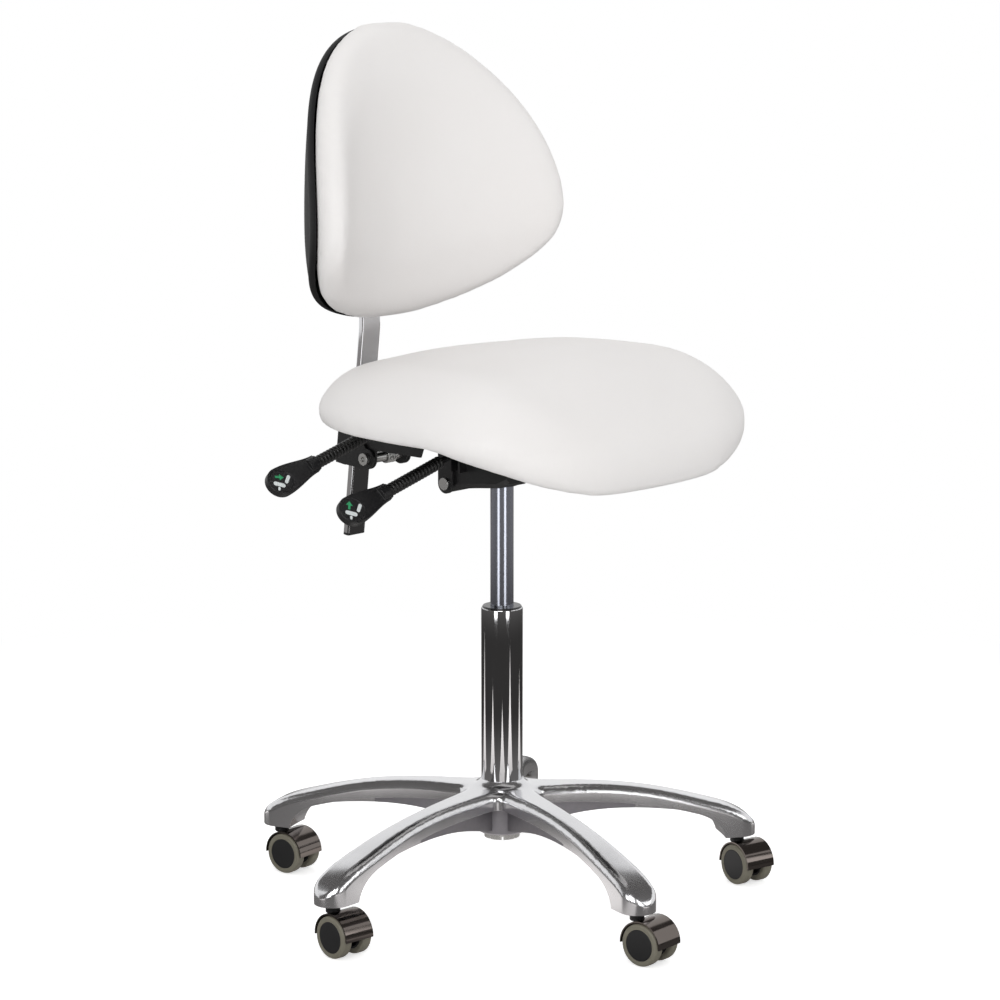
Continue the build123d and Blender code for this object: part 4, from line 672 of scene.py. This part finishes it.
STOOL_SIGN = [
    pad_outline(13, 4.6, 0, (-1.6, -4.6)),  # seat
    pad_outline(3.6, 10.5, -14, (6.6, 4.2)),  # back
    pad_outline(2.6, 4.4, 0, (-1.6, -9.8)),  # column
]
ARROW = [(-1.2, -4.4), (-1.2, 0.4), (-3.6, 0.4), (0, 5.0), (3.6, 0.4), (1.2, 0.4), (1.2, -4.4)]
ARROWS = {
    "lift_lever": [(ARROW, 0, (-4.0, 4.0))],
    "back_lever": [(ARROW, -80, (-2.6, 4.0))],
}
sleeve_tree = sleeve_rule()
for lever, (pivot_y, pivot_z) in LEVERS.items():
    body = frame["nodes"][f"{lever}_rod"]["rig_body"]
    dressed(f"{lever}_rod", [powder_coat])
    dressed(f"{lever}_paddle", [black_plastic], bevel_mm=0.5)
    axes = lever_axes(pivot_y, pivot_z)
    sleeve_end = SLEEVE_START + SLEEVE_LENGTH
    sleeve = ribbed_sleeve(
        f"{lever}_sleeve_look", axes @ Vector((SLEEVE_START, 0, 0)), axes @ Vector((sleeve_end, 0, 0))
    )
    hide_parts(f"{lever}_sleeve")
    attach(sleeve, body)
    face = (
        axes
        @ Matrix.Translation((sleeve_end, 0, 0))
        @ Matrix.Rotation(math.radians(-PADDLE_ROLL), 4, "X")
        @ Matrix.Translation((SIGN_CENTRE, 0, SIGN_FLOOR))
        @ Matrix.Rotation(math.radians(SIGN_TURN), 4, "Z")
    )
    arrows = [turned_outline(*arrow) for arrow in ARROWS[lever]]
    for name, outlines, ink in (("stool_sign", STOOL_SIGN, white_ink), ("arrow_sign", arrows, green_ink)):
        sign = printed(f"{lever}_{name}", outlines, face, ink)
        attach(sign, body)


# Back support: a flat-oval steel tube, chromed, with a moulded plug in its lower end. It slides in
# the bracket and is held there by a screw with a lobed plastic knob.
dressed("back_bar", [chrome])
dressed("bar_end_cap", [black_plastic])
dressed("clamp_knob", [black_plastic])


# Seat: white vinyl stretched over a moulded foam block and stapled under a board, whose underside
# black cloth covers. The front edge rolls down and there is no seam on top.
def whole(node_name, piece_name):
    """An object with a merged copy of a CAD node's mesh."""
    mesh = frame["nodes"][node_name].data.copy()
    mesh.name = piece_name
    mesh.materials.clear()
    shape = bmesh.new()
    shape.from_mesh(mesh)
    bmesh.ops.remove_doubles(shape, verts=shape.verts, dist=MERGE)
    bmesh.ops.recalc_face_normals(shape, faces=shape.faces)
    shape.to_mesh(mesh)
    shape.free()
    piece = bpy.data.objects.new(piece_name, mesh)
    bpy.context.scene.collection.objects.link(piece)
    return piece


def baked(piece):
    """Replaces a piece's mesh with what its modifiers make of it."""
    graph = bpy.context.evaluated_depsgraph_get()
    made = bpy.data.meshes.new_from_object(piece.evaluated_get(graph))
    piece.modifiers.clear()
    piece.data = made


def evened(piece, voxel):
    """Rebuilds a piece's skin as an even net of small quads."""
    remesh = piece.modifiers.new("even_net", "REMESH")
    remesh.mode = "VOXEL"
    remesh.voxel_size = voxel
    baked(piece)


def rounded(piece, rounds):
    """Evens out a skin until its edges are as round as stretched vinyl makes them."""
    smooth = piece.modifiers.new("rounded", "SMOOTH")
    smooth.factor = 0.5
    smooth.iterations = rounds
    baked(piece)


def inflated(piece, held, pressure, reach, frames=20):
    """Blows a skin up as cloth over its foam; no point moves further than reach."""
    before = [v.co.copy() for v in piece.data.vertices]
    group = piece.vertex_groups.new(name="held")
    group.add([v.index for v in piece.data.vertices if held(v)], 1.0, "REPLACE")
    cloth = piece.modifiers.new("skin", "CLOTH")
    settings = cloth.settings
    settings.quality = 5
    settings.mass = 0.4
    settings.tension_stiffness = 25
    settings.compression_stiffness = 25
    settings.shear_stiffness = 8
    settings.bending_stiffness = 1.5
    settings.use_pressure = True
    settings.uniform_pressure_force = pressure
    settings.vertex_group_mass = "held"
    settings.effector_weights.gravity = 0.0
    scene = bpy.context.scene
    cloth.point_cache.frame_start, cloth.point_cache.frame_end = 1, frames
    for number in range(1, frames + 1):
        scene.frame_set(number)
    baked(piece)
    scene.frame_set(1)
    for vertex, start in zip(piece.data.vertices, before):
        moved = vertex.co - start
        if moved.length > reach:
            vertex.co = start + moved * (reach / moved.length)


def pushed(piece, amount):
    """Moves every point of a skin along its normal, by what a rule gives for that point."""
    moves = [v.normal * amount(v) for v in piece.data.vertices]
    for vertex, move in zip(piece.data.vertices, moves):
        vertex.co += move


def settled(piece, node_name, spare):
    """Keeps a skin within a small spare of the foam's form, so that it stays taut."""
    foam = frame["nodes"][node_name].data
    form = BVHTree.FromPolygons([v.co for v in foam.vertices], [p.vertices for p in foam.polygons])
    for vertex in piece.data.vertices:
        spot, normal, face, distance = form.find_nearest(vertex.co)
        proud = (vertex.co - spot).dot(normal)
        vertex.co = spot + normal * max(-spare, min(spare, proud))


def finer(piece):
    """One subdivision, smooth-shaded."""
    divide = piece.modifiers.new("finer", "SUBSURF")
    divide.levels = divide.render_levels = 1
    baked(piece)
    piece.data.shade_smooth()


def cushion(node_name, held, rounds, fuller, voxel=0.006, sunk=0.003, pressure=4.0, reach=0.007):
    """A padded cushion in the shape of a CAD node."""
    piece = whole(node_name, f"{node_name}_look")
    evened(piece, voxel)
    pushed(piece, lambda v: -sunk)
    inflated(piece, held, pressure, reach)
    settled(piece, node_name, SKIN_SPARE)
    rounded(piece, rounds)
    fuller(piece)
    finer(piece)
    piece.data.materials.clear()
    piece.data.materials.append(vinyl)
    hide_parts(node_name)
    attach(piece, frame["nodes"][node_name]["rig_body"])
    return piece


def share(value, start, end):
    """How far a value is from a start to an end, kept between 0 and 1."""
    return max(0.0, min(1.0, (value - start) / (end - start)))


def seat_fullness(vertex):
    """How far the stretched vinyl stands out: most on the sides, none where the board bears."""
    slope = vertex.normal.z
    side = share(slope, 0.9, 0.3)
    bearing = share(slope, -0.6, -0.9) * share(vertex.co.y, BEARING_END_Y, ROLL_START_Y)
    return (SIDE_FULLNESS * side + TOP_FULLNESS * (1 - side)) * (1 - bearing)


def fuller_seat(piece):
    """Swells the seat's sides, rolls its front edge down and lets its rear top fall."""
    pushed(piece, seat_fullness)
    slopes = [v.normal.z for v in piece.data.vertices]
    for vertex, slope in zip(piece.data.vertices, slopes):
        front = share(vertex.co.y, ROLL_START_Y, ROLL_END_Y) ** 2
        rear = share(vertex.co.y, FALL_START_Y, FALL_END_Y) ** 2
        across = (vertex.co.x / SEAT_REACH_X) ** 2
        vertex.co.z -= FRONT_DIP * front * max(0.0, 1 - across)
        vertex.co.z -= REAR_FALL * rear * share(slope, -0.2, 0.8)
        vertex.co.x *= 1 - CORNER_CUT * front * across


SKIN_SPARE = 0.0015
SEAT_ROUNDS, BACK_ROUNDS = 80, 24
BACK_FULLNESS = 0.0022
SIDE_FULLNESS = 0.005
TOP_FULLNESS = 0.0018
FRONT_DIP = 0.008
REAR_FALL = 0.0075
CORNER_CUT = 0.02
ROLL_START_Y, ROLL_END_Y = -0.094, -0.252  # the front edge rolls down between these
BEARING_END_Y = -0.147  # the board bears on the underside from here backwards
FALL_START_Y, FALL_END_Y = 0.02, 0.17
SEAT_REACH_X = 0.2
# Vinyl: warm white, a soft sheen in broad patches, and the 1.6 mm pebble of embossed leathercloth
vinyl, vinyl_output = new_material("white_vinyl")
tree = vinyl.node_tree
tint = mottled(tree, 90, linear("#EFECEA"), linear("#F3F1F0"))
leather_grain = grain(tree, 1.6, 0.05, 3.0)
sheen = mottled(tree, 40, 0.42, 0.5)
surface(vinyl, vinyl_output, tint, 0.0, sheen, leather_grain, **{"Specular IOR Level": 0.35})
cushion("seat_cushion", lambda v: v.normal.z < -0.8, SEAT_ROUNDS, fuller_seat)
# Board cloth: dull black with a coarse weave, drawn 1.5 mm wide
board_cloth = moulding("black_board_cloth", "#0E0E0E", "#181817", 0.85, 1.5, 0.1)
dressed("seat_board", [board_cloth])


# Back: white vinyl stretched over foam on a moulded board, pressed into a black moulded shell that
# covers its rear and screws to the bar.
# Shell: black plastic, matt, with little shine at its rim
shell_plastic = moulding("black_shell_plastic", "#101011", "#18181A", 0.6, 0.9, 0.03, shine=0.25)
cushion(
    "back_cushion",
    lambda v: v.normal.y > 0.5,
    BACK_ROUNDS,
    lambda piece: pushed(piece, lambda v: BACK_FULLNESS * share(v.normal.y, 0.4, 0.0)),
)
dressed("back_shell", [shell_plastic])
dressed("back_board", [board_cloth])
